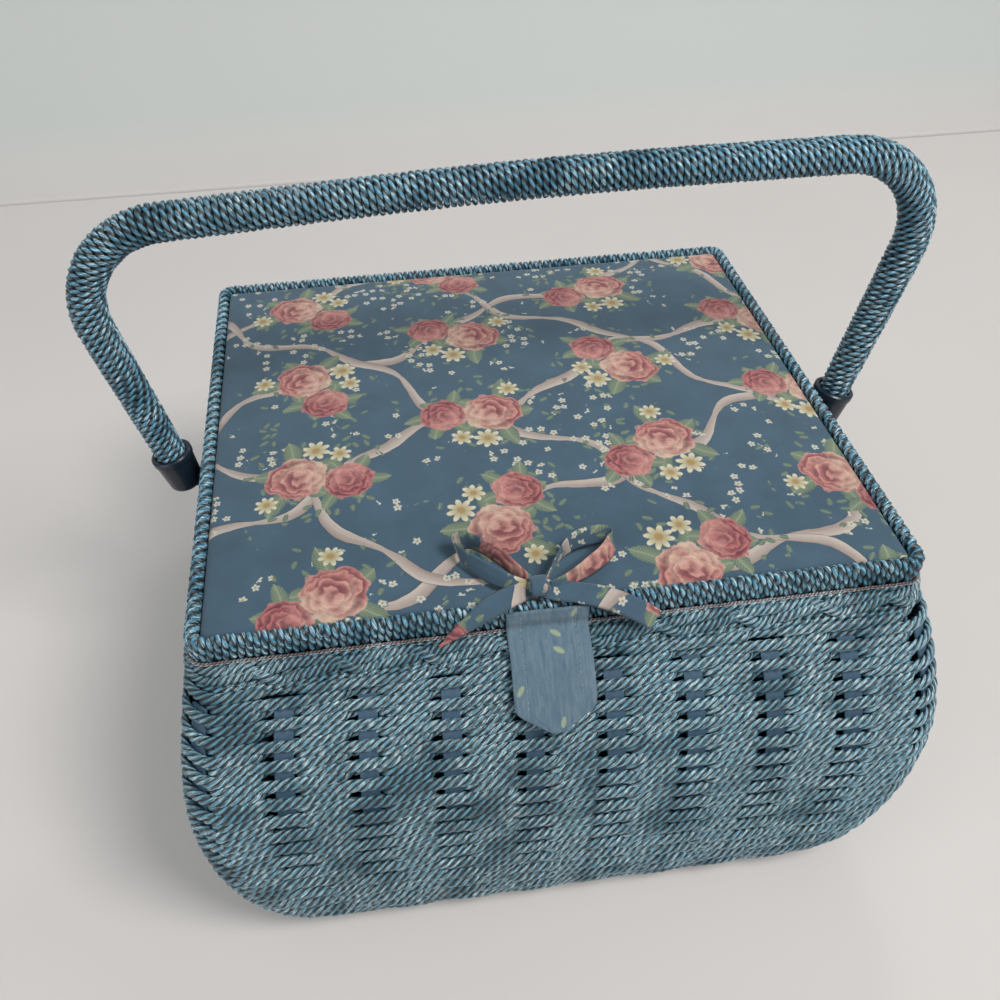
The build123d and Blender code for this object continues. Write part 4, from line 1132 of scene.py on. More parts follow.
def handle_line():
    """Middle line of the handle in the X-Z plane over its pivots: straight legs, two tangent arcs
    and a low crown, sampled along each part."""
    low, high = HANDLE_RISE - HANDLE_SKEW, HANDLE_RISE + HANDLE_SKEW
    up = SOCKET_FLOOR + 1.9
    spread = HANDLE_HALF_X - PIVOT_HALF_X
    p = np.array([(-PIVOT_HALF_X - up * spread / low, up), (-HANDLE_HALF_X, low),
                  (0.0, HANDLE_RISE + 2 * HANDLE_ARCH), (HANDLE_HALF_X, high),
                  (PIVOT_HALF_X + up * spread / high, up)])
    crown = 0.45 * HANDLE_HALF_X**2 / (2 * HANDLE_ARCH)
    line = [p[0]]
    for i, r in zip((1, 2, 3), (HANDLE_CORNER_R, crown, HANDLE_CORNER_R)):
        u, v = unit(p[i - 1] - p[i]), unit(p[i + 1] - p[i])
        half = math.acos(float(np.clip(u @ v, -1, 1))) / 2
        start, centre = p[i] + u * r / math.tan(half), p[i] + unit(u + v) * r / math.sin(half)
        a = unit(start - centre)
        sweep = math.pi - 2 * half
        s = np.linspace(0, sweep, 120)[:, None]
        side = unit(-u - (-u @ a) * a)
        line.append(centre + r * (np.cos(s) * a + np.sin(s) * side))
    line.append(p[-1])
    return np.vstack([np.atleast_2d(x) for x in line])


def lean(points):
    """Turns places over the pivots forward by the handle's lean."""
    c, s = math.cos(math.radians(HANDLE_LEAN)), math.sin(math.radians(HANDLE_LEAN))
    x, y, z = points[..., 0], points[..., 1], points[..., 2]
    return np.stack([x, c * y - s * z, s * y + c * z + PIVOT_Z], -1)


# share of the handle's rise at which it reaches its full thickness
FULL_AT = 0.62


def make_handle_binding(cords):
    """Cord bound round the handle: a helix about its middle line, one turn to each pitch, that
    narrows from the full height down to the socket."""
    radius = cords.wrap_radius / MM
    flat = handle_line()
    spine = np.stack([flat[:, 0], np.zeros(len(flat)), flat[:, 1]], -1)
    facing = np.tile([0.0, 1.0, 0.0], (len(spine), 1))
    step = 0.12
    spine, facing, at = even(spine, facing, step, False)
    ahead = along(spine, False)
    across = np.cross(ahead, facing)
    turn = 2 * math.pi * at / (cords.wrap_pitch / MM)
    full = FULL_AT * HANDLE_RISE
    share = (spine[:, 2].clip(SOCKET_FLOOR, full) - SOCKET_FLOOR) / (full - SOCKET_FLOOR)
    reach = NECK_R + (HANDLE_R - NECK_R) * share - radius
    reach += 0.05 * np.sin(at * 0.21) + 0.04 * np.sin(at * 0.57 + 1.0)
    out = np.cos(turn)[:, None] * facing + np.sin(turn)[:, None] * across
    path, outward = lean(spine + out * reach[:, None]), lean(out) - np.array([0, 0, PIVOT_Z])
    tube = twisted(path, outward, radius, **HANDLE_CORD)
    put_cords("handle_binding", [tube], "bound_cord", "handle", ["handle_wrap"])


# share of the way round, each side of the front's middle, that the trim reaches
TRIM_REACH = 0.372
# piece, inset, height over the lid's foot, size, lay and finish of each cord of the trim
TRIMS = (("lid_trim", 0.55, 0.85, 1.1, 3.1, "trim_brown"),
         ("lid_trim_edge", 0.20, 0.25, 0.52, 4.2, "trim_pale"))


def make_trim(cords):
    """Braid let in under the rail, round the front and both sides: a thin dark twist with a finer
    pale one below it, each wandering a little in height."""
    share = np.linspace(-TRIM_REACH, TRIM_REACH, 2600)
    for name, inset, rise, size, lay, finish_name in TRIMS:
        place, out, whole = ring(LID_OUT[0] - inset, LID_OUT[1] - inset, 8.0, share)
        at = share * whole
        sag = 0.16 * smooth_noise(5, at, (6, 11, 17, 29), whole)
        sag += 0.07 * smooth_noise(8, at, (61, 97, 139), whole)
        path, outward = at_height(place, LID_Z + rise + sag), at_height(out, 0.0)
        tube = twisted(path, outward, size * cords.trim_radius / MM, lay, **TRIM_CORD)
        put_cords(name, [tube], finish_name, "lid")


def pad_grid(half_w, half_d, columns, rows, base_z, edge_z, crown):
    """Closed pad: a top grid whose height is the edge's plus crown times a soft product of
    parabolas, a flat bottom grid, and two rows of sides joining their borders. Gives points, faces
    and each point's place on the flat cloth."""
    u, v = np.meshgrid(np.linspace(-1, 1, columns), np.linspace(-1, 1, rows))
    rise = (1 - np.abs(u) ** 2.6) ** 0.75 * (1 - np.abs(v) ** 2.6) ** 0.75
    top = np.stack([u * half_w, v * half_d, edge_z + crown * rise], -1).reshape(-1, 3)
    bottom = np.stack([u * half_w, v * half_d, np.full_like(u, base_z)], -1).reshape(-1, 3)
    quads, _ = grid_faces(rows, columns)
    grid = np.arange(rows * columns).reshape(rows, columns)
    border = np.concatenate([grid[0, :-1], grid[:-1, -1], grid[-1, :0:-1], grid[:0:-1, 0]])
    girth = top[border].copy()
    girth[:, 2] = (edge_z + base_z) / 2
    first = len(top) + len(border)
    sides = [border, len(top) + np.arange(len(border)), first + border]
    walls = [np.stack([a, b, np.roll(b, -1), np.roll(a, -1)], -1) for a, b in zip(sides, sides[1:])]
    points = np.concatenate([top, girth, bottom])
    flat = points[:, :2] * (1 + 0.004 * (edge_z - points[:, 2:3]).clip(0))
    return points, [quads, first + quads[:, ::-1], *walls], flat


def get_points(mesh):
    points = np.zeros(len(mesh.vertices) * 3)
    mesh.vertices.foreach_get("co", points)
    return points.reshape(-1, 3)


def set_points(mesh, points):
    mesh.vertices.foreach_set("co", points.astype(np.float32).ravel())
    mesh.update()


FILLING_FRAMES = 20


def swell(piece, pressure, most, pinned):
    """Fills a closed piece with Blender's cloth for some frames, caps how far a point moves, and
    leaves the filled shape in the mesh."""
    rest = get_points(piece.data)
    group = piece.vertex_groups.new(name="held")
    group.add([int(i) for i in np.flatnonzero(pinned)], 1.0, "REPLACE")
    cloth = piece.modifiers.new("fill", "CLOTH")
    for key, value in {
        "quality": 5, "mass": 0.15, "tension_stiffness": 12, "compression_stiffness": 12,
        "bending_stiffness": 0.4, "use_pressure": True, "uniform_pressure_force": pressure,
        "vertex_group_mass": "held",
    }.items():
        setattr(cloth.settings, key, value)
    cloth.settings.effector_weights.gravity = 0.0
    scene = bpy.context.scene
    for number in range(1, FILLING_FRAMES + 1):
        scene.frame_set(number)
    filled = piece.evaluated_get(bpy.context.evaluated_depsgraph_get()).to_mesh()
    shift = get_points(filled) - rest
    piece.modifiers.remove(cloth)
    piece.vertex_groups.remove(group)
    scene.frame_set(1)
    size = np.linalg.norm(shift, axis=1, keepdims=True)
    set_points(piece.data, rest + shift * np.minimum(1.0, most / np.maximum(size, 1e-9)))


def soften(piece, levels):
    subdivide = piece.modifiers.new("soft", "SUBSURF")
    subdivide.levels = subdivide.render_levels = levels


PUCKER, PUCKER_REACH, HOLLOW = 0.30, 6.0, 0.28


def pucker(p, half_w, half_d, edge):
    """Small waves across a pad's edge that die away within 14 mm of it, and slow, shallow hollows
    in the wadding."""
    x, y = p[:, 0], p[:, 1]
    near_x, near_y = half_w - np.abs(x), half_d - np.abs(y)
    top = p[:, 2] > edge + 0.05
    fade_x, fade_y = (np.exp(-((near / PUCKER_REACH) ** 2)) for near in (near_x, near_y))
    wave_x = np.sin(x * 0.31 + 1.1 * np.sin(x * 0.057)) * (0.6 + 0.4 * np.sin(x * 0.093))
    wave_y = np.sin(y * 0.34 + 1.3 * np.sin(y * 0.05)) * (0.6 + 0.4 * np.sin(y * 0.11))
    hollow = np.sin(x * 0.033 + 0.9) * np.sin(y * 0.041 + 0.4) + 0.5 * np.sin(x * 0.021 + y * 0.058)
    inner = np.minimum(near_x, near_y).clip(0, 40) / 40
    puckers = PUCKER * wave_x * fade_y + PUCKER * wave_y * fade_x
    p[:, 2] += top * (puckers + HOLLOW * hollow * inner)
    return p


# where each piece is cut from the print, in millimetres
PRINT_AT = np.array([20.0, 12.0])
TAB_PRINT = np.array([-61.0, 148.0])
CUSHION_PRINT = np.array([33.0, -140.0])


def put_pad(name, size, print_at, middle=(0.0, 0.0)):
    """A pad in printed cloth, with its points as they were laid out."""
    points, faces, flat = pad_grid(*size)
    points[:, :2] += middle
    uv = [(flat[f] + print_at) * MM for f in faces]
    return put_mesh(name, points, faces, uv, finish("print_cloth")), points


COVER_BASE_Z, COVER_EDGE_Z = 182.8, 189.0
COVER_GRID, CUSHION_GRID = (73, 65), (25, 25)


def make_cover(cloth):
    """Padded cover of the lid: cloth over wadding, filled by simulation, then puckered a little
    where it is tucked in beside the rail."""
    half_w, half_d = FACE_HALF[0] - 0.1, FACE_HALF[1] - 0.1
    size = (half_w, half_d, *COVER_GRID, COVER_BASE_Z, COVER_EDGE_Z, cloth.crown / MM)
    piece, points = put_pad("lid_cover", size, PRINT_AT)
    pinned = (points[:, 2] < COVER_EDGE_Z - 0.5) | (np.abs(points[:, 0]) > half_w - 0.1)
    pinned |= np.abs(points[:, 1]) > half_d - 0.1
    swell(piece, cloth.pressure, cloth.swell, pinned)
    points = pucker(get_points(piece.data) / MM, half_w, half_d, COVER_EDGE_Z)
    set_points(piece.data, points * MM)
    soften(piece, 1)
    settle(piece, "lid", ["lid_cushion"])


def strap(line, facing, half_width, section, cloth_at, heading=None):
    """A flat cloth strip along a line. The section is a closed run of (share of the half width,
    height) pairs, carried along with the line's facing direction as its up; the flat place of each
    point is its share across and the distance along."""
    run = run_along(line)
    ahead = along(line, False) if heading is None else heading
    up = off_line(facing, ahead)
    across = np.cross(ahead, up)
    half_width = np.broadcast_to(half_width, (len(line),))
    thin = np.minimum(1.0, half_width / 1.5)
    sideways = half_width[:, None] * section[:, 0]
    points = line[:, None] + across[:, None] * sideways[..., None]
    points = points + up[:, None] * (thin[:, None] * section[:, 1])[..., None]
    return points, np.stack(np.broadcast_arrays(sideways, run[:, None]), -1) + cloth_at


def put_straps(name, straps, finish_name, node):
    """One piece from closed strips, each with flat ends."""
    points, quads, uvs, ends, first = [], [], [], {}, 0
    for grid, flat in straps:
        rings, around = grid.shape[:2]
        faces, _ = grid_faces(rings, around, False, True)
        points.append(grid.reshape(-1, 3))
        quads.append(faces + first)
        uvs.append(flat.reshape(-1, 2)[faces] * MM)
        loop = first + np.arange(around)
        ends.setdefault(around, []).extend([(loop[::-1], flat[0][::-1] * MM),
                                            (loop + (rings - 1) * around, flat[-1] * MM)])
        first += rings * around
    groups, group_uvs = [np.concatenate(quads)], [np.concatenate(uvs)]
    for caps in ends.values():
        groups.append(np.array([cap[0] for cap in caps]))
        group_uvs.append(np.array([cap[1] for cap in caps]))
    piece = put_mesh(name, np.concatenate(points), groups, group_uvs, finish(finish_name))
    settle(piece, "lid", [node])
    return piece


def closed_section(a, upper, lower):
    """Section of a strip: out along its upper side and back along its lower."""
    return np.concatenate([np.stack([a, upper], -1), np.stack([a[::-1], -lower], -1)[1:-1]])


def folded_section(thickness):
    """Section of a strip folded lengthwise: rounded edges, a soft hollow each side of the fold."""
    a = np.linspace(-1, 1, 9)
    body = thickness / 2 * (1 - np.abs(a) ** 6) ** 0.5 * (0.82 + 0.18 * np.cos(2 * math.pi * a))
    return closed_section(a, body, body)


def tab_line():
    """The tab's middle surface from the side: down the rail's face, then out over the wall."""
    top, turn, half_t = 190.5, 180.0, 0.8
    rail_y = -(LID_OUT[1] + 0.3)
    points = [(rail_y - half_t, z) for z in (top, 186.0, turn)]
    for z in np.linspace(turn, TAB_END_Z - TAB_POINT, 6)[1:]:
        off_wall = wall(z)[1] + WALL_HALF_T + TAB_OFF_WALL
        points.append((min(rail_y, -off_wall) - half_t, z))
    return points


STITCH_IN = 6.0
TAB_TIP, ROUNDING = 2.6, 9.0


def tab_reach(half, run, above):
    """Half width of the tab on each side, down its length."""
    slant = TAB_TIP + above * half / (0.72 * TAB_POINT)
    for waver in (0.4, 2.0):
        straight = half * (0.988 + 0.012 * np.cos(run * 0.11 + waver))
        yield (straight**-ROUNDING + slant**-ROUNDING) ** (-1 / ROUNDING)


def make_tab(cloth):
    """Closing tab: two thicknesses of cloth, edges turned in and stitched down inside them. Each
    side keeps half the width until it meets the slanting end, a line that rises from the blunt
    tip; a soft minimum of the two rounds the corner."""
    half = cloth.tab_half_width / MM
    side = spline(tab_line(), 130)
    line = np.stack([np.full(len(side), TAB_X), side[:, 0], side[:, 1]], -1)
    ahead = along(line, False)
    facing = unit(np.stack([np.zeros(len(line)), ahead[:, 2], -ahead[:, 1]], -1))
    facing *= np.where(facing[:, 1:2] > 0, -1, 1)
    run = run_along(line)
    left, right = tab_reach(half, run, (line[:, 2] - line[-1, 2]).clip(0))
    across = np.cross(ahead, facing)
    low, high = (left, right) if across[0, 0] > 0 else (right, left)
    width, centre = (low + high) / 2, (high - low) / 2

    a = np.sin(np.linspace(-math.pi / 2, math.pi / 2, 57))
    past_seam = np.abs(a) - (1 - STITCH_IN / half)
    groove = np.exp(-((past_seam / 0.03) ** 2))
    hem = 0.22 * (past_seam > 0) * (1 - np.exp(-((past_seam / 0.05) ** 2)))
    edge = (1 - np.abs(a) ** 22) ** 0.5
    section = closed_section(a, (0.62 + hem - 0.30 * groove) * edge, 0.74 * edge)

    line = line + facing * (0.22 * np.sin(run * 0.19 + 0.6))[:, None]
    spine = line + across * centre[:, None]
    points, flat = strap(spine, facing, width, section, TAB_PRINT, ahead)
    flat[..., 0] += centre[:, None]
    over, down = (points[..., 0] - TAB_X) / half, run[:, None]
    fold = np.exp(-(((over + 0.30 - 0.006 * down) / 0.10) ** 2)) * np.clip((down - 12) / 20, 0, 1)
    wave = 0.30 * fold + 0.16 * np.sin(over * 4.1 + down * 0.05)
    points += facing[:, None] * wave[..., None]
    piece = put_straps("tab_cloth", [(points, flat)], "tab_cloth", "closing_tab")
    make_tab_stitches(line, facing, run, ((STITCH_IN - half, left), (half - STITCH_IN, right)))


def make_tab_stitches(line, facing, run, seams):
    """Short stitches down both seams, each a thread that rises from the cloth and goes back in."""
    spacing, first, clear = 2.5, 3.0, 2.0
    lift = np.array([0.30, 0.46, 0.46, 0.30])[:, None]
    turn = np.arange(5)[None, :, None] * 2 * math.pi / 5
    tubes = []
    for place, reach in seams:
        for s in np.arange(first, run[-1], spacing):
            at = np.interp([s, s + 0.5, s + 1.1, s + 1.6], run, np.arange(len(run)))
            i = np.clip(at.astype(int), 0, len(run) - 1)
            if (reach - clear)[i].min() < abs(place):
                break
            path = line[i] + np.array([place, 0.0, 0.0]) + facing[i] * lift
            go = along(path, False)
            n = off_line(np.tile(facing[10], (4, 1)), go)
            b = np.cross(n, go)
            shape = path[:, None] + 0.15 * (np.cos(turn) * n[:, None] + np.sin(turn) * b[:, None])
            tubes.append((shape, np.arange(4) * 0.6, False, 1))
    put_cords("tab_stitches", tubes, "thread", "lid")


# places along the middle of each loop and each tail of the bow, left and then right
BOW_LOOPS = (
    ((-15.2, -131.0, 197.0), (-21.0, -123.3, 197.6), (-26.2, -116.2, 198.2),
     (-32.3, -109.6, 198.6), (-38.4, -105.9, 198.6), (-42.4, -107.0, 198.4),
     (-42.2, -111.0, 198.0), (-39.4, -115.6, 197.5), (-35.0, -120.4, 197.0),
     (-28.5, -126.6, 196.6), (-22.3, -131.4, 196.6), (-15.6, -134.6, 197.0)),
    ((-8.4, -133.0, 197.4), (-5.4, -128.0, 197.8), (-1.6, -122.2, 198.4),
     (3.0, -117.0, 198.8), (8.4, -113.4, 198.9), (15.5, -111.4, 198.8),
     (21.4, -111.6, 198.5), (23.8, -114.0, 198.1), (21.8, -118.2, 197.5),
     (17.2, -122.8, 196.9), (8.9, -128.4, 196.5), (0.9, -132.8, 196.5), (-7.0, -135.6, 196.9)),
)
BOW_TAILS = (
    ((-12.0, -134.4, 196.0), (-16.4, -135.0, 195.6), (-22.4, -136.6, 194.9),
     (-29.0, -139.4, 194.3), (-36.2, -143.2, 193.3), (-43.6, -146.0, 189.8),
     (-49.8, -147.0, 184.9), (-54.4, -147.4, 180.9)),
    ((-12.0, -135.6, 195.2), (-7.0, -136.8, 195.0), (1.0, -138.2, 194.8),
     (9.3, -140.6, 194.2), (16.8, -143.3, 193.0), (23.4, -145.2, 190.3),
     (29.6, -146.4, 186.4), (35.0, -147.2, 181.9)),
)


def put_bow_cloth(name, straps, node, core=()):
    """One part of the bow: strips, and ready grids for its core, as one piece."""
    strips = [strap(*details) for details in straps] + list(core)
    piece = put_straps(name, strips, "print_cloth", node)


def make_bow(cloth):
    """The bow tied from one folded strip: two open loops standing on edge, two tails lying over
    the rail and the knot's turns. Each is a strip carried along a smooth line through its places,
    narrow where the knot pinches it."""
    width, thick = cloth.bow_width / MM / 2, cloth.cloth_thickness / MM
    section = folded_section(thick)

    loops = []
    for side, places in zip((-1, 1), BOW_LOOPS):
        line = spline(places, 110)
        s = np.linspace(0, 1, len(line))[:, None]
        sway = 0.30 * np.sin(s * 6.0 + side) * np.array([side, -0.4, 0.0])
        facing = np.cross(unit(np.array([0.0, 0.34, 0.94]) + sway), along(line, False))
        pinch = 0.46 + 0.54 * np.minimum(1, np.minimum(s[:, 0], 1 - s[:, 0]) / 0.20) ** 0.8
        cut_at = np.array([side * -90.0, 35.0 + side * 22])
        loops.append((line, facing, width * pinch, section, cut_at))
    put_bow_cloth("bow_loop_cloth", loops, "bow_loops")

    tails = []
    for side, places in zip((-1, 1), BOW_TAILS):
        line = spline(places, 70)
        s = np.linspace(0, 1, len(line))[:, None]
        turn = np.clip((s - 0.35) / 0.5, 0, 1)
        lying, hanging = np.array([0.0, -0.36, 0.93]), np.array([side * 0.12, -0.90, 0.42])
        facing = unit((1 - turn) * lying + turn * hanging)
        facing = unit(facing + 0.14 * np.sin(s * 7.0 + side) * np.array([side * 0.6, 0, 0.5]))
        shape = 0.62 + 0.42 * np.minimum(1, s[:, 0] * 4.0)
        if side < 0:
            shape = shape * np.clip((1 - s[:, 0]) / 0.52, 0.10, 1.0) ** 0.8
        cut_at = np.array([side * 44.0 - 20, -70.0 + side * 18])
        tails.append((line, facing, width * shape, section, cut_at))
    put_bow_cloth("bow_tail_cloth", tails, "bow_tails")

    turns = []
    middle = np.array(KNOT) + np.array([0.0, 0.0, 0.2])
    for i, (tilt, size, shift) in enumerate(((0.15, 1.0, 0.0), (-0.55, 0.86, 0.6))):
        s = np.linspace(0, 2 * math.pi, 49)
        level, upright = 4.2 * size * np.cos(s), 2.9 * size * np.sin(s)
        spun = np.stack([-math.sin(tilt) * level, math.cos(tilt) * level, upright], -1)
        body = width * (0.86 + 0.10 * np.sin(3 * s + i))
        cut_at = np.array([120.0 + 20 * i, 60.0])
        line = middle + np.array([shift, 0.0, 0.0]) + spun
        turns.append((line, unit(spun), body, section * (1, 1.3), cut_at))
    core = unit_ball(24, 16) * (5.0, 3.4, 2.5) + middle
    flat = core[..., :2] + (70.0, 250.0)
    put_bow_cloth("bow_knot_cloth", turns, "bow_knot", [(core, flat)])


def unit_ball(around, rings):
    """Rings of a ball from near one pole to near the other, along X."""
    a = np.linspace(0.12, math.pi - 0.12, rings)[:, None]
    b = np.arange(around)[None, :] * 2 * math.pi / around
    return np.stack([np.cos(a) * np.ones_like(b), np.sin(a) * np.cos(b), np.sin(a) * np.sin(b)], -1)


def make_pincushion(cloth):
    """Stuffed pincushion in its pocket: the solid's own box, with a domed, filled top."""
    low, high = (np.array(c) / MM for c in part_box("pincushion"))
    middle, half = (low + high) / 2, (high - low) / 2
    inset, dome = 1.5, 6.0
    size = (*(half[:2] - inset), *CUSHION_GRID, low[2] + 0.2, high[2] - 9.0, dome)
    piece, points = put_pad("pincushion_cloth", size, CUSHION_PRINT, middle[:2])
    swell(piece, cloth.pressure, 2.4 * MM, points[:, 2] < low[2] + 8.0)
    soften(piece, 2)
    settle(piece, "basket", ["pincushion"])


SOLID_FINISHES = {
    "stake_strip": ["wall_stakes"],
    "hoop_wood": ["rim_frame"],
    "base_wood": ["base_panel"],
    "board": ["lid_board"],
    "core_cane": ["handle_core"],
    "card_cloth": ["wall_liner"],
    "lining_cloth": ["floor_pad", "lid_lining"],
    "tray_plastic": ["tray"],
    "socket_plastic": ["pivot_bush_left", "pivot_bush_right", "socket_left", "socket_right"],
    "hinge_metal": ["rim_hinge_leaves", "hinge_pins", "rim_hinge_screws", "lid_hinge_leaves",
                    "lid_hinge_screws", "snap_stud", "snap_cap"],
    "clip_steel": ["pivot_clips"],
}


def dress_solids():
    """Gives each solid that shows its own finish."""
    for name, nodes in SOLID_FINISHES.items():
        for node in nodes:
            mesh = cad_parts[node].data
            mesh.materials.clear()
            mesh.materials.append(finish(name))


# ---- stage ----------------------------------------------------------------------------------


CAMERA_AT = (-0.0712, -0.4108, 0.5003)
CAMERA_TURNS = (6.64, 40.79, -1.47)
LENS, SENSOR, SHIFT = 36.306, 36.0, (0.0308, -0.026)


def make_camera():
    """Camera from three fitted turns: heading, downward tilt and roll."""
    heading, tilt, roll = (math.radians(a) for a in CAMERA_TURNS)
    ahead = np.array([math.sin(heading) * math.cos(tilt), math.cos(heading) * math.cos(tilt),
                      -math.sin(tilt)])
    level = np.array([math.cos(heading), -math.sin(heading), 0.0])
    over = np.cross(level, ahead)
    c, s = math.cos(roll), math.sin(roll)
    right, up = c * level + s * over, -s * level + c * over
    data = bpy.data.cameras.new("view")
    data.lens, data.sensor_width = LENS, SENSOR
    data.shift_x, data.shift_y = SHIFT
    data.clip_start, data.clip_end = 0.01, 20.0
    camera = bpy.data.objects.new("view", data)
    place = np.eye(4)
    place[:3] = np.stack([right, up, -ahead, CAMERA_AT], -1)
    camera.matrix_world = Matrix(place.tolist())
    bpy.context.scene.collection.objects.link(camera)
    bpy.context.scene.camera = camera


FLOOR, SWEEP, SEEN_FLOOR = (0.62, 0.585, 0.565), (0.55, 0.575, 0.55), (0.84, 0.82, 0.80)


def stage_finish():
    """The stage's finish: the floor's colour, the sweep's from 25 mm up, and a pale glow that only
    the camera and reflections see."""
    f = Finish("stage")
    lamp = f.add("ShaderNodeBsdfDiffuse")
    grain = f.noise(f.place(), 3.0, 2.0)
    ground = f.ramp(grain, [(0.3, shade(FLOOR, 0.98)), (0.7, shade(FLOOR, 1.02))])
    height = f.split(f.place())[2]
    f.feed(lamp.inputs[0], f.mix(f.math("MULTIPLY", height, 40.0, clamp=True), ground, SWEEP))
    glow = f.add("ShaderNodeEmission")
    f.feed(glow.inputs[0], SEEN_FLOOR)
    glow.inputs[1].default_value = 1.0
    rays = f.add("ShaderNodeLightPath")
    straight, mirrored = rays.outputs["Is Camera Ray"], rays.outputs["Is Glossy Ray"]
    share = f.times(f.math("MAXIMUM", straight, mirrored), 0.16)
    blend = f.add("ShaderNodeMixShader")
    f.feed(blend.inputs[0], share)
    f.tree.links.new(lamp.outputs[0], blend.inputs[1])
    f.tree.links.new(glow.outputs[0], blend.inputs[2])
    out = f.add("ShaderNodeOutputMaterial")
    f.tree.links.new(blend.outputs[0], out.inputs[0])
    return f.material


# place, aim, size, power and colour of each lamp
LAMPS = {
    "key": ((0.75, -0.85, 1.75), (0, 0, 0.12), 0.7, 28.0, (1.0, 0.985, 0.96)),
    "fill": ((-1.6, -0.9, 0.9), (0, 0, 0.1), 1.6, 8.0, (0.95, 0.98, 1.0)),
    "back": ((0.5, 1.3, 1.5), (0, 0, 0.15), 0.8, 18.0, (1.0, 1.0, 1.0)),
}
SKY, SKY_POWER, SEEN_SKY = (0.80, 0.84, 0.88, 1.0), 0.44, (0.56, 0.575, 0.56, 1.0)


def make_lamps():
    for name, (place, aim, size, power, colour) in LAMPS.items():
        data = bpy.data.lights.new(name, "AREA")
        data.shape, data.size, data.energy, data.color = "DISK", size, power, colour
        light = bpy.data.objects.new(name, data)
        light.location = place
        light.rotation_euler = (Vector(aim) - Vector(place)).to_track_quat("-Z", "Y").to_euler()
        bpy.context.scene.collection.objects.link(light)


def make_stage():
    """A sweep: a wide floor that turns up far behind into a plain backdrop."""
    s = np.linspace(0, math.pi / 2, 60)
    y = np.concatenate([np.linspace(-4000, 700, 30), 700 + 500 * np.sin(s), [1200.0]])
    z = np.concatenate([np.zeros(30), 500 * (1 - np.cos(s)), [4000.0]])
    points = np.array([[(x, *level) for x in (-5000.0, 5000.0)] for level in zip(y, z)])
    faces, _ = grid_faces(len(y), 2)
    put_mesh("sweep", points, [faces], None, stage_finish())
    make_lamps()
    world = bpy.data.worlds.new("studio")
    bpy.context.scene.world = world
    world.use_nodes = True
    tree = world.node_tree
    sky = tree.nodes["Background"]
    sky.inputs[0].default_value, sky.inputs[1].default_value = SKY, SKY_POWER
    seen = tree.nodes.new("ShaderNodeBackground")
    seen.inputs[0].default_value = SEEN_SKY
    rays = tree.nodes.new("ShaderNodeLightPath")
    blend = tree.nodes.new("ShaderNodeMixShader")
    outputs = (rays.outputs["Is Camera Ray"], sky.outputs[0], seen.outputs[0], blend.outputs[0])
    for output, socket in zip(outputs, (*blend.inputs[:3], tree.nodes["World Output"].inputs[0])):
        tree.links.new(output, socket)
    bpy.context.scene.view_settings.view_transform = "Standard"


# ---- operators, panel and registration ------------------------------------------------------


class BasketOperator(bpy.types.Operator):
    """Makes one group of the basket's pieces"""

    bl_idname = "basket.base"
    bl_label = "Basket"
    bl_options = {"REGISTER"}

    def execute(self, context):
        self.build(context.scene)
        return {"FINISHED"}


class BASKET_OT_camera(BasketOperator):
    """Add the camera at the basket's front left"""

    bl_idname = "basket.camera"
    bl_label = "Camera"

    def build(self, scene):
        make_camera()


class BASKET_OT_solids(BasketOperator):
    """Give the solid model's own pieces their finishes"""

    bl_idname = "basket.solids"
    bl_label = "Finishes of the solid pieces"

    def build(self, scene):
        dress_solids()


class BASKET_OT_weft(BasketOperator):
    """Weave the wall's courses of flattened four-ply cord"""

    bl_idname = "basket.weft"
    bl_label = "Woven wall"

    def build(self, scene):
        make_weft(scene.basket_cords)


class BASKET_OT_border(BasketOperator):
    """Plait the border under the lid"""

    bl_idname = "basket.border"
    bl_label = "Plaited border"

    def build(self, scene):
        make_border()


class BASKET_OT_foot_rope(BasketOperator):
    """Lay the foot rope round the base"""

    bl_idname = "basket.foot_rope"
    bl_label = "Foot rope"

    def build(self, scene):
        make_foot_rope(scene.basket_cords)


class BASKET_OT_rail(BasketOperator):
    """Bind the lid's rail and let in the trim under it"""

    bl_idname = "basket.rail"
    bl_label = "Bound rail and trim"

    def build(self, scene):
        make_rail_binding(scene.basket_cords)
        make_trim(scene.basket_cords)


class BASKET_OT_handle(BasketOperator):
    """Bind the handle with cord"""

    bl_idname = "basket.handle"
    bl_label = "Bound handle"

    def build(self, scene):
        make_handle_binding(scene.basket_cords)


class BASKET_OT_cover(BasketOperator):
    """Make the lid's padded printed cover"""

    bl_idname = "basket.cover"
    bl_label = "Padded cover"

    def build(self, scene):
        make_cover(scene.basket_cloth)


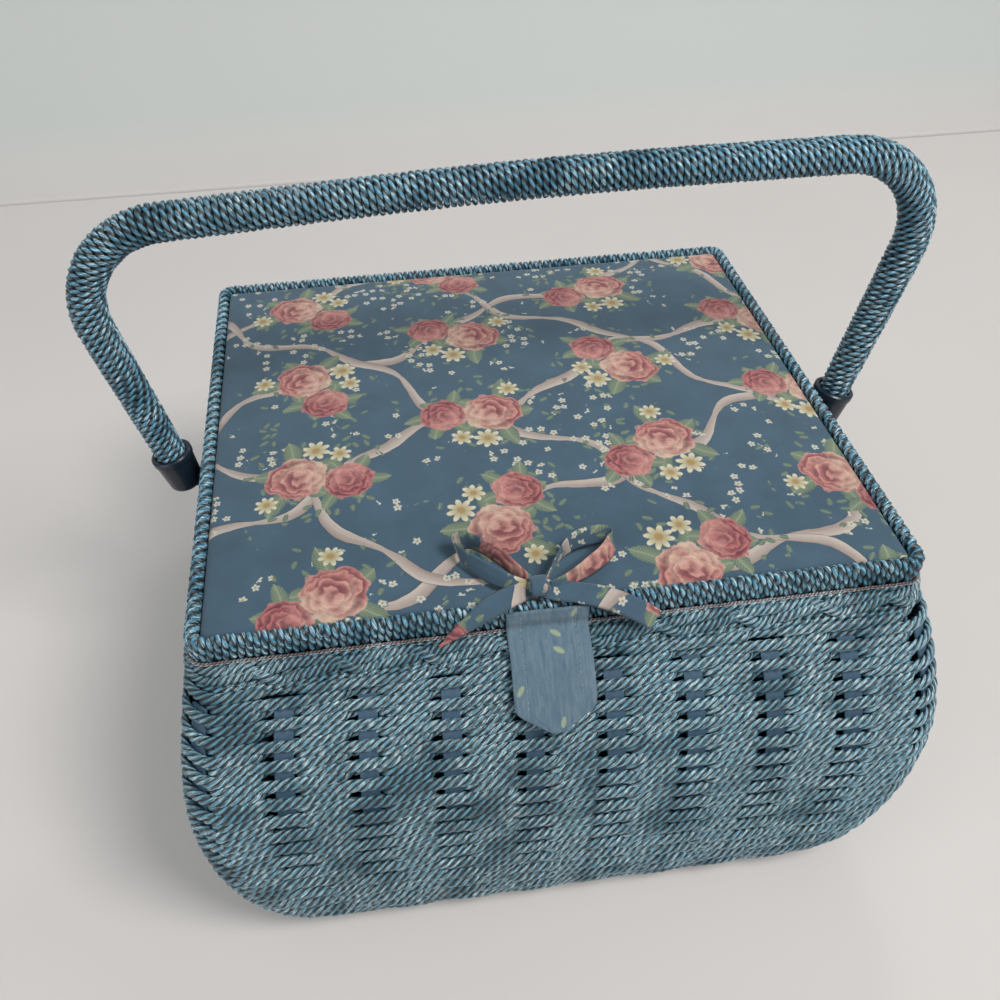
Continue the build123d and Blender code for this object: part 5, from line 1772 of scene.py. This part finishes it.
class BASKET_OT_tab(BasketOperator):
    """Make the closing tab and its stitches"""

    bl_idname = "basket.tab"
    bl_label = "Closing tab"

    def build(self, scene):
        make_tab(scene.basket_cloth)


class BASKET_OT_bow(BasketOperator):
    """Tie the bow"""

    bl_idname = "basket.bow"
    bl_label = "Bow"

    def build(self, scene):
        make_bow(scene.basket_cloth)


class BASKET_OT_pincushion(BasketOperator):
    """Stuff the pincushion in the tray"""

    bl_idname = "basket.pincushion"
    bl_label = "Pincushion"

    def build(self, scene):
        make_pincushion(scene.basket_cloth)


class BASKET_OT_stage(BasketOperator):
    """Add the floor, the backdrop and the lamps"""

    bl_idname = "basket.stage"
    bl_label = "Stage"

    def build(self, scene):
        make_stage()


OPERATORS = (
    BASKET_OT_camera, BASKET_OT_solids, BASKET_OT_weft, BASKET_OT_border, BASKET_OT_foot_rope,
    BASKET_OT_rail, BASKET_OT_handle, BASKET_OT_cover, BASKET_OT_tab, BASKET_OT_bow,
    BASKET_OT_pincushion, BASKET_OT_stage,
)


class BASKET_PT_panel(bpy.types.Panel):
    """Lists the basket's sizes, colours and pieces"""

    bl_idname = "BASKET_PT_panel"
    bl_label = "Woven Sewing Basket"
    bl_space_type = "VIEW_3D"
    bl_region_type = "UI"
    bl_category = "Basket"

    def draw(self, context):
        for key in GROUPS:
            group = getattr(context.scene, key)
            column = self.layout.column(align=True)
            for name in group.__annotations__:
                column.prop(group, name)
        for operator in OPERATORS:
            self.layout.operator(operator.bl_idname)


GROUPS = {"basket_cords": BasketCords, "basket_cloth": BasketCloth, "basket_colours": BasketColours}
CLASSES = (*GROUPS.values(), *OPERATORS, BASKET_PT_panel)


def register():
    for kind in CLASSES:
        bpy.utils.register_class(kind)
    for name, kind in GROUPS.items():
        setattr(bpy.types.Scene, name, bpy.props.PointerProperty(type=kind))


def unregister():
    for name in GROUPS:
        delattr(bpy.types.Scene, name)
    for kind in reversed(CLASSES):
        bpy.utils.unregister_class(kind)


def main():
    register()
    for operator in OPERATORS:
        group, name = operator.bl_idname.split(".")
        getattr(getattr(bpy.ops, group), name)()


if __name__ == "__main__":
    main()
